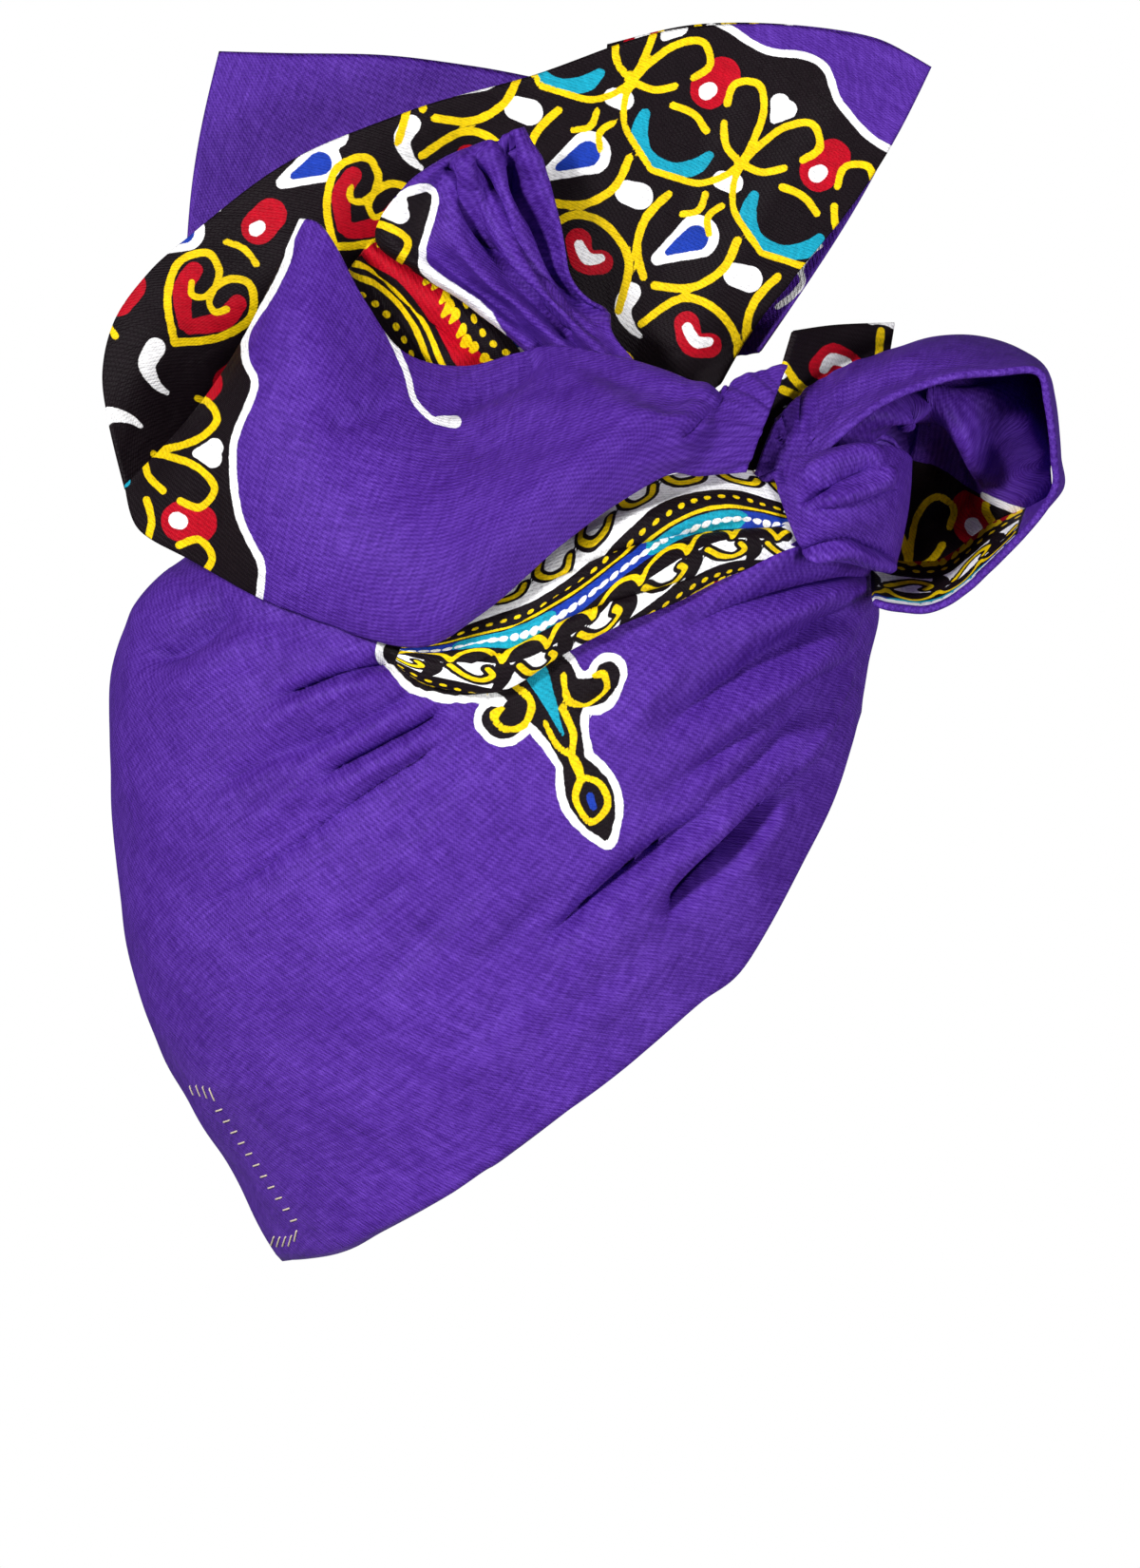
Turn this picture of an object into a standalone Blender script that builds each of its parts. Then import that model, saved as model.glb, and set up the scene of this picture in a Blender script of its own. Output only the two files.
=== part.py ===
"""A head wrap tied from one long strip of printed cotton.

The wearer faces +X and +Z is up. The origin is the point inside the crown where the
head touches the cloth. The strip covers the head, is knotted over the forehead, and
its two tails are folded into a side lobe, a bow loop and a fan above the crown.

Every sheet of cloth is a loft through a short table of sections. A section runs from
its low point to its top point and swells away from the straight line between them,
most at the share of its length that is called its peak. A piece that another one
carries is moved at the end until it just clears it.
"""

import math
from collections import namedtuple
from functools import partial

import bmesh
import bpy
from mathutils import Vector
from mathutils.bvhtree import BVHTree

MM = 0.001

# Wall thickness of one layer of wound cloth, and of a tail folded double.
SINGLE_CLOTH = 1.6
DOUBLE_CLOTH = 2.4
CAP_CLOTH = 2.2

# Smallest air gap that is left between two separate pieces, how often the distance
# that a piece is moved is halved, and the parts that an edge is measured in.
SEAT_GAP = 0.5
SEAT_STEPS = 12
EDGE_PARTS = 5

# Faces that meet at a wider angle than this keep a sharp edge between them.
SHARP_ANGLE = 50.0

# How often a table's range is halved to find a value in it.
SEARCH_STEPS = 24

PURPLE = (0.102, 0.036, 0.330, 1.0)
BLACK_PRINT = (0.030, 0.018, 0.026, 1.0)
COTTON_ROUGHNESS = 0.78

# Levels of the cap from the crown down: the profile's back and front, and the half
# width, in millimetres at each height.
Level = namedtuple("Level", "z back front half_width")
CAP_LEVELS = (
    Level(3.0, 8.0, 8.0, 0.0),
    Level(1.5, -22.0, 36.0, 22.0),
    Level(-3.5, -44.0, 63.0, 42.0),
    Level(-12.0, -65.0, 86.0, 58.0),
    Level(-22.5, -81.0, 100.0, 69.0),
    Level(-35.0, -93.5, 102.5, 75.5),
    Level(-50.0, -99.3, 99.3, 79.0),
    Level(-70.0, -99.6, 97.5, 80.0),
    Level(-92.0, -98.7, 95.0, 80.0),
    Level(-115.0, -97.0, 92.0, 79.0),
    Level(-135.0, -92.5, 88.0, 76.0),
    Level(-151.0, -86.5, 83.0, 73.0),
    Level(-165.0, -79.0, 77.0, 69.5),
    Level(-181.0, -68.7, 70.0, 64.0),
    Level(-194.0, -62.0, 62.0, 59.0),
    Level(-208.0, -54.2, 54.0, 54.0),
)

# Power of the cap's outline seen from above: 2 is an ellipse, more is squarer.
CAP_SQUARENESS = 2.3
CAP_AROUND = 52
CAP_DOWN = 21

# Height of the cap's lower edge round the head, from the forehead to the nape.
RimPoint = namedtuple("RimPoint", "angle z")
CAP_RIM = (
    RimPoint(0.0, -60.0),
    RimPoint(15.0, -75.0),
    RimPoint(26.0, -95.0),
    RimPoint(37.0, -114.5),
    RimPoint(45.0, -131.5),
    RimPoint(53.0, -139.0),
    RimPoint(60.0, -147.0),
    RimPoint(73.5, -163.5),
    RimPoint(86.0, -177.0),
    RimPoint(97.5, -189.0),
    RimPoint(115.0, -198.5),
    RimPoint(136.0, -205.0),
    RimPoint(180.0, -207.8),
)

# Folds that the pull of the knot draws in the cap, seen from the side. A positive
# height is a ridge and a negative one a valley.
CapFold = namedtuple("CapFold", "x0 z0 x1 z1 height width")
CAP_FOLDS = (
    CapFold(101.0, -34.0, 40.0, -96.0, 2.6, 6.5),
    CapFold(97.0, -50.0, 44.0, -122.0, -3.6, 6.0),
    CapFold(96.0, -72.0, 62.0, -124.0, 1.6, 7.0),
    CapFold(60.0, -76.0, -4.0, -138.0, -1.8, 6.0),
    CapFold(50.0, -104.0, -20.0, -166.0, 1.8, 7.0),
    CapFold(-4.0, -63.0, -82.0, -117.0, -1.4, 5.0),
    CapFold(-40.0, -36.0, -98.0, -46.0, -2.6, 5.5),
    CapFold(-28.0, -62.0, -78.0, -79.0, -1.4, 5.5),
)

# The quads of a sheet: along its table of sections, and across each section.
Grid = namedtuple("Grid", "along across")

Section = namedtuple(
    "Section",
    "low_x low_z low_y top_x top_z top_y swell_x swell_z swell_y peak",
    defaults=(0.5,),
)

# The printed roll between the cap and the lobe, from its tip to the knot.
TWIST_SECTIONS = (
    Section(-24.0, -50.0, -81.0, -21.5, -44.0, -79.5, 0.0, 0.0, -1.0),
    Section(-14.5, -56.0, -82.0, -8.0, -38.5, -79.0, 0.0, 0.0, -2.0),
    Section(3.0, -57.5, -82.0, 8.0, -25.5, -74.0, 0.0, 0.0, -4.0),
    Section(18.5, -48.5, -80.5, 21.0, -15.0, -69.0, 0.0, 0.0, -5.0),
    Section(33.0, -41.0, -77.5, 36.0, -5.0, -62.0, 0.0, 0.0, -6.0),
    Section(47.5, -35.0, -72.0, 51.0, -0.5, -55.0, 0.0, 0.0, -6.0),
    Section(62.5, -27.5, -63.0, 65.5, 0.5, -50.0, 0.0, 0.0, -5.0),
    Section(76.5, -23.0, -54.0, 77.0, -2.0, -45.0, 0.0, 0.0, -4.0),
    Section(85.0, -20.0, -47.0, 83.0, -6.5, -41.0, 0.0, 0.0, -2.0),
)
TWIST_GRID = Grid(15, 8)
TWIST_ROLLS = 2
TWIST_ROLL_HEIGHT = 1.8

# The share of a quarter wave at which the twist's rolls start from its tip.
TWIST_ROLL_START = 0.4

# The broad lobe over the near side, from its folded left end to the knot.
LOBE_SECTIONS = (
    Section(-95.0, -3.5, -37.0, -49.0, 66.0, -44.0, 3.5, -5.0, -4.0),
    Section(-91.0, -15.0, -42.0, -44.0, 64.5, -47.0, 2.0, -2.0, -12.0),
    Section(-77.5, -23.0, -50.0, -39.0, 57.5, -49.0, 0.0, 0.0, -17.0),
    Section(-62.0, -31.5, -62.0, -32.0, 44.5, -50.0, 0.0, 0.0, -19.0, 0.45),
    Section(-41.5, -40.0, -72.0, -22.0, 31.0, -48.0, 0.0, 0.0, -20.0, 0.42),
    Section(-18.0, -46.0, -85.0, -6.0, 27.5, -40.0, 0.0, 0.0, -22.0, 0.4),
    Section(-2.0, -37.5, -88.0, 14.0, 32.5, -42.0, 0.0, 0.0, -19.0, 0.42),
    Section(17.5, -21.0, -85.5, 31.0, 30.5, -49.0, 0.0, 0.0, -14.0),
    Section(36.0, -7.0, -77.0, 46.0, 26.0, -52.0, 0.0, 0.0, -10.0),
    Section(47.0, -1.0, -70.0, 60.0, 20.5, -54.0, 0.0, 0.0, -7.0),
    Section(54.5, -1.5, -64.0, 64.5, 24.0, -48.0, 0.0, 0.0, -5.0),
    Section(67.0, -0.5, -59.0, 78.0, 28.0, -44.0, 0.0, 0.0, -4.0),
)
LOBE_GRID = Grid(20, 10)

# The knot over the forehead, wrapped from its near side round the front.
KNOT_SECTIONS = (
    Section(81.5, -22.0, -60.0, 73.5, -0.5, -56.0, 0.0, 0.0, -2.0),
    Section(86.0, -23.0, -60.0, 80.0, 3.0, -58.0, 0.0, 0.0, -6.0, 0.55),
    Section(92.5, -24.0, -57.0, 90.5, 5.5, -57.0, 0.0, 0.0, -9.0, 0.6),
    Section(101.5, -25.5, -45.0, 104.5, 6.5, -52.0, 0.0, 0.0, -8.0, 0.6),
    Section(105.0, -25.0, -32.0, 109.5, 4.5, -42.0, 1.0, 0.0, -5.0),
    Section(105.0, -23.5, -22.0, 108.5, 3.5, -32.0, 1.0, 0.0, -3.0),
)
KNOT_GRID = Grid(10, 9)
KNOT_PLEATS = 3
KNOT_PLEAT_HEIGHT = 1.1

# The bow loop in front of the knot: low is its near rim, top its far rim.
LOOP_SECTIONS = (
    Section(72.5, 1.0, -47.0, 76.0, 14.0, -39.0, 0.0, 1.0, -1.0),
    Section(83.5, 5.0, -48.0, 81.0, 20.0, -32.0, 0.0, 2.0, 0.0),
    Section(90.5, 11.0, -49.0, 91.0, 26.5, -23.0, 0.0, 2.5, 0.0),
    Section(104.0, 18.0, -49.0, 106.0, 32.0, -13.0, 0.0, 3.0, 0.0),
    Section(117.5, 23.5, -48.0, 121.0, 35.5, -7.0, 0.0, 3.0, 0.0),
    Section(132.5, 25.0, -45.0, 135.0, 34.0, -3.0, 0.5, 2.0, 0.0),
    Section(143.0, 25.5, -43.0, 145.0, 28.0, 0.0, 0.0, 1.0, 0.0),
    Section(145.5, 17.5, -42.0, 148.0, 20.0, 0.0, 0.0, 0.0, 0.0),
    Section(147.0, 4.0, -41.0, 149.5, 5.0, 0.0, 0.0, 0.0, 0.0),
    Section(146.5, -6.5, -41.0, 149.0, -5.0, -1.0, 0.0, 0.0, 0.0),
    Section(134.0, -22.0, -43.0, 131.5, -13.5, -5.0, 1.0, -1.0, 0.0),
    Section(116.5, -35.5, -43.0, 118.5, -22.5, -7.0, 0.0, -2.0, 0.0),
    Section(100.0, -34.5, -39.0, 107.0, -23.0, -7.0, 0.0, -1.0, 0.0),
)
LOOP_GRID = Grid(26, 6)

# The cloth that closes the bow loop behind, with a fold that leans out of it.
LOOP_WALL_SECTIONS = (
    Section(82.0, 2.0, -32.0, 85.5, 11.5, -31.0, 0.0, 0.0, -1.0),
    Section(96.0, 2.0, -25.0, 97.0, 24.5, -15.0, 0.0, 0.0, -8.0),
    Section(106.0, 3.5, -13.0, 108.0, 31.0, -5.0, 0.0, 0.0, -14.0),
    Section(107.0, -26.5, -2.0, 116.5, 34.0, 1.0, 0.0, 0.0, -16.0, 0.7),
    Section(121.5, -29.5, 1.0, 127.5, 34.5, 3.0, 0.0, 0.0, -20.0, 0.75),
    Section(134.5, -18.0, 2.0, 137.0, 32.5, 4.0, 0.0, 0.0, -19.0, 0.65),
    Section(148.0, -5.5, 4.0, 145.0, 27.0, 4.0, 0.0, 0.0, -8.0, 0.4),
)
LOOP_WALL_GRID = Grid(14, 8)

# The short end of cloth that stands behind the bow loop.
TAB_SECTIONS = (
    Section(67.5, -0.5, -30.0, 79.5, 37.0, -22.0, 0.0, 0.0, 0.0),
    Section(83.5, 7.0, -12.0, 91.0, 39.0, -8.0, 0.0, 0.0, -2.0),
    Section(102.5, 17.5, 4.0, 106.5, 40.0, 5.0, 0.0, 0.0, -1.0),
)
TAB_GRID = Grid(5, 6)

# The fan: a tail that sweeps from the left end over the crown and opens to the right.
FAN_SECTIONS = (
    Section(-78.0, -0.5, -27.0, -95.0, -3.5, -33.0, 0.0, 0.0, 0.0),
    Section(-70.5, 7.0, -18.0, -99.5, 14.5, -29.0, 0.0, 0.0, -2.0, 0.6),
    Section(-63.0, 15.0, -10.0, -101.0, 28.0, -26.0, 0.0, 0.0, -6.0, 0.65),
    Section(-53.5, 17.5, -6.0, -98.0, 41.0, -24.0, 0.0, 0.0, -9.0, 0.65),
    Section(-45.5, 17.5, -4.0, -90.5, 52.0, -22.0, 0.0, 0.0, -10.0, 0.65),
    Section(-35.5, 14.0, -3.0, -80.5, 61.5, -20.0, 0.0, 0.0, -10.0, 0.65),
    Section(-20.5, 7.5, -3.0, -53.5, 82.0, -18.0, 0.0, 0.0, -10.0, 0.65),
    Section(-5.5, 4.5, -3.0, -21.0, 96.0, -17.0, 0.0, 0.0, -9.0, 0.6),
    Section(11.5, 4.5, -3.0, 11.5, 105.5, -15.0, 0.0, 0.0, -7.0, 0.6),
    Section(31.0, 5.0, -3.0, 43.5, 116.5, -14.0, 0.0, 0.0, -4.0),
    Section(46.0, 11.0, -5.0, 71.0, 119.0, -14.0, 0.0, 0.0, -3.0),
    Section(55.5, 19.0, -8.0, 96.0, 116.0, -16.0, 0.0, 0.0, -2.0),
    Section(60.5, 26.0, -9.0, 107.0, 112.5, -17.0, 1.0, 0.0, -1.0),
    Section(63.5, 36.5, -9.0, 116.0, 107.5, -18.0, 6.0, 0.0, -1.0),
)
FAN_GRID = Grid(22, 9)

# The fan's second layer, folded behind its right end.
FAN_BACK_SECTIONS = (
    Section(21.0, 5.0, 5.0, 31.0, 113.0, -5.0, 0.0, 0.0, 2.0),
    Section(46.5, 14.0, 4.0, 53.5, 118.0, -7.0, 0.0, 0.0, 2.0),
    Section(62.5, 29.5, 2.0, 78.5, 118.0, -8.0, 0.0, 0.0, 2.0),
    Section(68.0, 31.5, 0.0, 101.0, 114.5, -10.0, 0.0, 0.0, 2.0),
    Section(71.0, 32.0, -2.0, 115.0, 107.0, -12.0, 3.0, 0.0, 1.0),
)
FAN_BACK_GRID = Grid(10, 8)

# The squared end of the other tail, standing behind the fan.
FLAP_SECTIONS = (
    Section(-80.5, 51.5, 14.0, -71.5, 113.0, 16.0, -2.0, 0.0, 0.0),
    Section(-65.5, 20.5, 12.0, -54.0, 112.5, 16.0, 0.0, 0.0, -2.0),
    Section(-39.0, 4.5, 10.0, -29.0, 112.0, 16.0, 0.0, 0.0, -3.0),
    Section(-11.5, 4.0, 9.0, -4.0, 109.0, 14.0, 0.0, 0.0, -3.0),
    Section(11.0, 4.0, 8.0, 18.5, 104.5, 12.0, 0.0, 0.0, -2.0),
)
FLAP_GRID = Grid(9, 8)

# The gathered fold between lobe and fan, from its tucked end to its free top.
PLEAT_SECTIONS = (
    Section(17.0, 6.0, -24.0, 37.5, 6.0, -24.0, 0.0, 0.0, 0.0),
    Section(13.0, 27.0, -32.0, 41.0, 23.0, -33.0, 0.0, 0.0, -1.0),
    Section(-4.0, 43.0, -33.0, 31.0, 37.0, -33.0, 0.0, 0.0, -3.0),
    Section(-18.5, 52.0, -32.0, 22.0, 49.0, -31.0, 0.0, 0.0, -4.0),
    Section(-29.5, 61.0, -31.0, 19.0, 64.0, -29.0, 0.0, 0.0, -4.0),
    Section(-22.0, 74.0, -31.0, 14.0, 79.5, -28.0, 0.0, 0.0, -4.0),
    Section(-11.0, 82.0, -31.0, 9.0, 90.0, -28.0, 0.0, 0.0, -3.0),
)
PLEAT_GRID = Grid(11, 14)
PLEAT_COUNT = 3
PLEAT_HEIGHT = 2.2

# The rolled folds of print that show between lobe and pleats.
INNER_SECTIONS = (
    Section(-36.5, 53.0, -25.0, -30.5, 61.0, -25.0, 0.0, 0.0, 0.0),
    Section(-30.5, 40.0, -25.0, -15.0, 50.0, -25.0, 0.0, 0.0, 0.0),
    Section(-18.5, 28.5, -25.0, -1.0, 42.0, -25.0, 0.0, 0.0, 0.0),
    Section(0.0, 17.5, -24.0, 12.0, 26.5, -23.0, 0.0, 0.0, 0.0),
    Section(8.0, 7.0, -21.0, 22.0, 8.5, -18.0, 0.0, 0.0, 0.0),
)
INNER_GRID = Grid(9, 10)
INNER_ROLLS = 2
INNER_ROLL_HEIGHT = 2.4

# Height above the cap of the middle of a single cloth that lies on it.
LIE_LIFT = 1.5

# The order in which the carried pieces are moved against the pieces that hold them.
Seat = namedtuple("Seat", "piece holders direction reach")
SEATS = (
    Seat("twist_roll", ("head_cap",), (0, 1, 0), 3.0),
    Seat("side_lobe", ("head_cap", "twist_roll"), (0, 1, 0), 3.0),
    Seat("front_knot", ("head_cap", "twist_roll", "side_lobe"), (0, 1, 0), 6.0),
    Seat("bow_loop", ("front_knot", "side_lobe", "twist_roll"), (0, -1, 0), 6.0),
    Seat("bow_back_wall", ("bow_loop", "front_knot", "head_cap"), (0, -1, 0), 12.0),
    Seat("end_tab", ("bow_loop", "side_lobe", "bow_back_wall"), (0, -1, 0), 16.0),
    Seat("crown_fan", ("head_cap", "side_lobe"), (0, 0, -1), 3.0),
    Seat("fan_back_layer", ("crown_fan", "head_cap"), (0, -1, 0), 8.0),
    Seat("back_flap", ("head_cap", "fan_back_layer"), (0, 0, -1), 3.0),
    Seat("pleated_fold", ("side_lobe", "crown_fan"), (0, -1, 0), 12.0),
    Seat("inner_folds", ("side_lobe", "pleated_fold"), (0, -1, 0), 12.0),
)


def clear_scene():
    """Remove every object of the scene that the file was opened with."""
    for obj in list(bpy.data.objects):
        bpy.data.objects.remove(obj)


def new_collection(name):
    """A collection of that name, linked to the scene."""
    collection = bpy.data.collections.new(name)
    bpy.context.scene.collection.children.link(collection)
    return collection


def cotton(name, colour):
    """Woven cotton of one colour."""
    material = bpy.data.materials.new(name)
    material.use_nodes = True
    shader = material.node_tree.nodes["Principled BSDF"]
    shader.inputs["Base Color"].default_value = colour
    shader.inputs["Roughness"].default_value = COTTON_ROUGHNESS
    shader.inputs["Metallic"].default_value = 0.0
    return material


def smooth_row(rows, position):
    """The table row at a fractional position, on a smooth curve through all rows."""
    last = len(rows) - 1
    position = min(max(position, 0.0), float(last))
    start = min(int(position), last - 1)
    t = position - start
    before = rows[max(start - 1, 0)]
    after = rows[min(start + 2, last)]
    blended = (
        0.5 * (2 * b + (c - a) * t + (2 * a - 5 * b + 4 * c - d) * t**2 + (3 * b - a - 3 * c + d) * t**3)
        for a, b, c, d in zip(before, rows[start], rows[start + 1], after)
    )
    return type(rows[0])(*blended)


def position_where(rows, column, value):
    """The fractional row where a column that only falls or only rises has that value."""
    low, high = 0.0, float(len(rows) - 1)
    rising = getattr(rows[-1], column) > getattr(rows[0], column)
    for _ in range(SEARCH_STEPS):
        middle = (low + high) / 2
        if (getattr(smooth_row(rows, middle), column) < value) == rising:
            low = middle
        else:
            high = middle
    return (low + high) / 2


def powered(value, power):
    """The value's size raised to a power, with its sign kept."""
    return math.copysign(abs(value) ** power, value)


def cap_half_width(x, z):
    """How far the cap reaches sideways at a point of its side view, or 0 outside it."""
    if z >= CAP_LEVELS[0].z or z <= CAP_LEVELS[-1].z:
        return 0.0
    level = smooth_row(CAP_LEVELS, position_where(CAP_LEVELS, "z", z))
    centre = (level.front + level.back) / 2
    reach = abs(x - centre) / ((level.front - level.back) / 2)
    if reach >= 1:
        return 0.0
    return level.half_width * (1 - reach**CAP_SQUARENESS) ** (1 / CAP_SQUARENESS)


def fold_height(x, z):
    """How far the pulled folds raise or sink the cap at a point of its side view."""
    height = 0.0
    for fold in CAP_FOLDS:
        along = Vector((fold.x1 - fold.x0, fold.z1 - fold.z0))
        offset = Vector((x - fold.x0, z - fold.z0))
        share = offset.dot(along) / along.length_squared
        if 0 < share < 1:
            away = (offset - along * share).length
            height += fold.height * math.sin(math.pi * share) * math.exp(-((away / fold.width) ** 2))
    return height


def cap_point(angle, share):
    """A point of the cap's outside: the angle runs from forehead to nape, the share from crown to rim."""
    turn = angle if angle <= 180 else 360 - angle
    rim_z = smooth_row(CAP_RIM, position_where(CAP_RIM, "angle", turn)).z
    level = smooth_row(CAP_LEVELS, share * position_where(CAP_LEVELS, "z", rim_z))
    power = 2 / CAP_SQUARENESS
    cosine = powered(math.cos(math.radians(angle)), power)
    sine = powered(math.sin(math.radians(angle)), power)
    centre = Vector(((level.front + level.back) / 2, 0.0, level.z))
    spoke = Vector(((level.front - level.back) / 2 * cosine, -level.half_width * sine, 0.0))
    point = centre + spoke
    if spoke.length > 0:
        outward = Vector((spoke.x, spoke.y, 0.0)).normalized()
        point += outward * fold_height(point.x, point.z) * abs(sine)
    return point


def shade_smooth(obj):
    """Smooth shading that keeps the cut edges of the cloth sharp."""
    obj.data.shade_smooth()
    obj.data.set_sharp_from_angle(angle=math.radians(SHARP_ANGLE))


def add_cloth_wall(obj, thickness, offset):
    """Give an open sheet its thickness. Offset -1 grows it inwards and 0 both ways."""
    wall = obj.modifiers.new("cloth_wall", "SOLIDIFY")
    wall.thickness = thickness * MM
    wall.offset = offset
    wall.use_even_offset = False


def finish_mesh(bm, name, collection, material):
    """Turn the working mesh, which is in millimetres, into an object in metres."""
    bmesh.ops.scale(bm, vec=(MM, MM, MM), verts=bm.verts)
    mesh = bpy.data.meshes.new(name)
    bm.to_mesh(mesh)
    bm.free()
    mesh.materials.append(material)
    obj = bpy.data.objects.new(name, mesh)
    collection.objects.link(obj)
    shade_smooth(obj)
    return obj


def sheet(name, point_at, grid, collection, material, thickness):
    """A sheet of cloth whose points follow point_at(share along, share across)."""
    bm = bmesh.new()
    bmesh.ops.create_grid(bm, x_segments=grid.along, y_segments=grid.across, size=0.5)
    for vert in bm.verts:
        vert.co = point_at(vert.co.x + 0.5, vert.co.y + 0.5)
    obj = finish_mesh(bm, name, collection, material)
    add_cloth_wall(obj, thickness, 0.0)
    return obj


def section_point(rows, u, v):
    """The point of a lofted sheet at share u along its table and share v across a section."""
    row = smooth_row(rows, u * (len(rows) - 1))
    low = Vector((row.low_x, row.low_y, row.low_z))
    top = Vector((row.top_x, row.top_y, row.top_z))
    swell = Vector((row.swell_x, row.swell_y, row.swell_z))
    skew = math.log(0.5) / math.log(row.peak)
    return low.lerp(top, v) + swell * math.sin(math.pi * v**skew)


def above_cap(point, lift):
    """The point, moved towards the near side if it would lie closer to the cap than lift."""
    reach = cap_half_width(point.x, point.z)
    if reach > 0:
        ridge = max(fold_height(point.x, point.z), 0.0)
        point.y = min(point.y, -(reach + ridge + lift))
    return point


def rolls(v, count):
    """Rounded rolls across a section: 0 at both edges and 1 on each crest."""
    return abs(math.sin(math.pi * count * v))


def solid_shape(obj):
    """The corners, in metres, faces, and points along the edges of an object with its modifiers."""
    graph = bpy.context.evaluated_depsgraph_get()
    evaluated = obj.evaluated_get(graph)
    mesh = evaluated.to_mesh()
    corners = [evaluated.matrix_world @ vert.co for vert in mesh.vertices]
    faces = [tuple(face.vertices) for face in mesh.polygons]
    probes = list(corners)
    for edge in mesh.edges:
        start, end = (corners[i] for i in edge.vertices)
        probes += [start.lerp(end, i / EDGE_PARTS) for i in range(1, EDGE_PARTS)]
    evaluated.to_mesh_clear()
    return corners, faces, probes


def too_close(tree, probes, other_tree, other_probes):
    """Whether two bodies meet, or come nearer to each other than the seat gap."""
    gap = SEAT_GAP * MM
    return (
        bool(tree.overlap(other_tree))
        or any(other_tree.find_nearest(probe, gap)[0] for probe in probes)
        or any(tree.find_nearest(probe, gap)[0] for probe in other_probes)
    )


def seat(pieces, rule):
    """Move a piece along its direction until it just clears the pieces that hold it."""
    bpy.context.view_layer.update()
    corners, faces, probes = solid_shape(pieces[rule.piece])
    holders = []
    for name in rule.holders:
        holder_corners, holder_faces, holder_probes = solid_shape(pieces[name])
        holders.append((BVHTree.FromPolygons(holder_corners, holder_faces), holder_probes))
    step = Vector(rule.direction).normalized() * MM
    clear, blocked = 0.0, rule.reach
    for _ in range(SEAT_STEPS):
        travel = (clear + blocked) / 2
        shift = step * travel
        tree = BVHTree.FromPolygons([corner + shift for corner in corners], faces)
        moved_probes = [probe + shift for probe in probes]
        if any(too_close(tree, moved_probes, other, others) for other, others in holders):
            blocked = travel
        else:
            clear = travel
    pieces[rule.piece].location += step * clear


def make_cap(collection, material):
    """The cloth over the head: a dome open at the neck and the face, with pulled folds."""
    bm = bmesh.new()
    rings = []
    for down in range(1, CAP_DOWN + 1):
        share = down / CAP_DOWN
        rings.append([bm.verts.new(cap_point(360 * i / CAP_AROUND, share)) for i in range(CAP_AROUND)])
    pole = bm.verts.new(cap_point(0.0, 0.0))
    for i in range(CAP_AROUND):
        j = (i + 1) % CAP_AROUND
        bm.faces.new((pole, rings[0][j], rings[0][i]))
        for upper, lower in zip(rings, rings[1:]):
            bm.faces.new((upper[i], upper[j], lower[j], lower[i]))
    bmesh.ops.recalc_face_normals(bm, faces=bm.faces)
    obj = finish_mesh(bm, "head_cap", collection, material)
    add_cloth_wall(obj, CAP_CLOTH, -1.0)
    return obj


def make_twist(collection, material):
    """The printed roll that runs over the cap into the knot."""

    def point_at(u, v):
        point = section_point(TWIST_SECTIONS, u, v)
        rise = math.sin(math.pi / 2 * min(TWIST_ROLL_START + 2 * u, 1.0))
        point.y -= TWIST_ROLL_HEIGHT * rolls(v, TWIST_ROLLS) * rise
        return above_cap(point, LIE_LIFT)

    return sheet("twist_roll", point_at, TWIST_GRID, collection, material, SINGLE_CLOTH)


def make_lobe(collection, material):
    """The broad purple lobe, which lies on the cap along its lower edge."""

    def point_at(u, v):
        return above_cap(section_point(LOBE_SECTIONS, u, v), LIE_LIFT)

    return sheet("side_lobe", point_at, LOBE_GRID, collection, material, SINGLE_CLOTH)


def make_knot(collection, material):
    """The knot: pleated cloth wrapped round the gathered strip."""

    def point_at(u, v):
        point = section_point(KNOT_SECTIONS, u, v)
        point.y -= KNOT_PLEAT_HEIGHT * rolls(v, KNOT_PLEATS)
        return point

    return sheet("front_knot", point_at, KNOT_GRID, collection, material, DOUBLE_CLOTH)


def make_loop(collection, material):
    """The bow loop that stands out in front of the knot."""
    point_at = partial(section_point, LOOP_SECTIONS)
    return sheet("bow_loop", point_at, LOOP_GRID, collection, material, DOUBLE_CLOTH)


def make_loop_wall(collection, material):
    """The cloth that closes the bow loop behind."""
    point_at = partial(section_point, LOOP_WALL_SECTIONS)
    return sheet("bow_back_wall", point_at, LOOP_WALL_GRID, collection, material, SINGLE_CLOTH)


def make_tab(collection, material):
    """The short end that stands behind the bow loop."""
    point_at = partial(section_point, TAB_SECTIONS)
    return sheet("end_tab", point_at, TAB_GRID, collection, material, DOUBLE_CLOTH)


def make_fan(collection, material):
    """The tail that fans out over the crown."""
    point_at = partial(section_point, FAN_SECTIONS)
    return sheet("crown_fan", point_at, FAN_GRID, collection, material, DOUBLE_CLOTH)


def make_fan_back(collection, material):
    """The layer folded behind the fan's right end."""
    point_at = partial(section_point, FAN_BACK_SECTIONS)
    return sheet("fan_back_layer", point_at, FAN_BACK_GRID, collection, material, SINGLE_CLOTH)


def make_flap(collection, material):
    """The squared tail end behind the fan."""
    point_at = partial(section_point, FLAP_SECTIONS)
    return sheet("back_flap", point_at, FLAP_GRID, collection, material, DOUBLE_CLOTH)


def make_pleats(collection, material):
    """The gathered fold that rises from behind the lobe."""

    def point_at(u, v):
        point = section_point(PLEAT_SECTIONS, u, v)
        point.y -= PLEAT_HEIGHT * math.sin(2 * math.pi * PLEAT_COUNT * v) * math.sin(math.pi * u)
        return point

    return sheet("pleated_fold", point_at, PLEAT_GRID, collection, material, SINGLE_CLOTH)


def make_inner_folds(collection, material):
    """The rolled folds of print deep between lobe and pleats."""

    def point_at(u, v):
        point = section_point(INNER_SECTIONS, u, v)
        point.y -= INNER_ROLL_HEIGHT * rolls(v, INNER_ROLLS)
        return point

    return sheet("inner_folds", point_at, INNER_GRID, collection, material, SINGLE_CLOTH)


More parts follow.
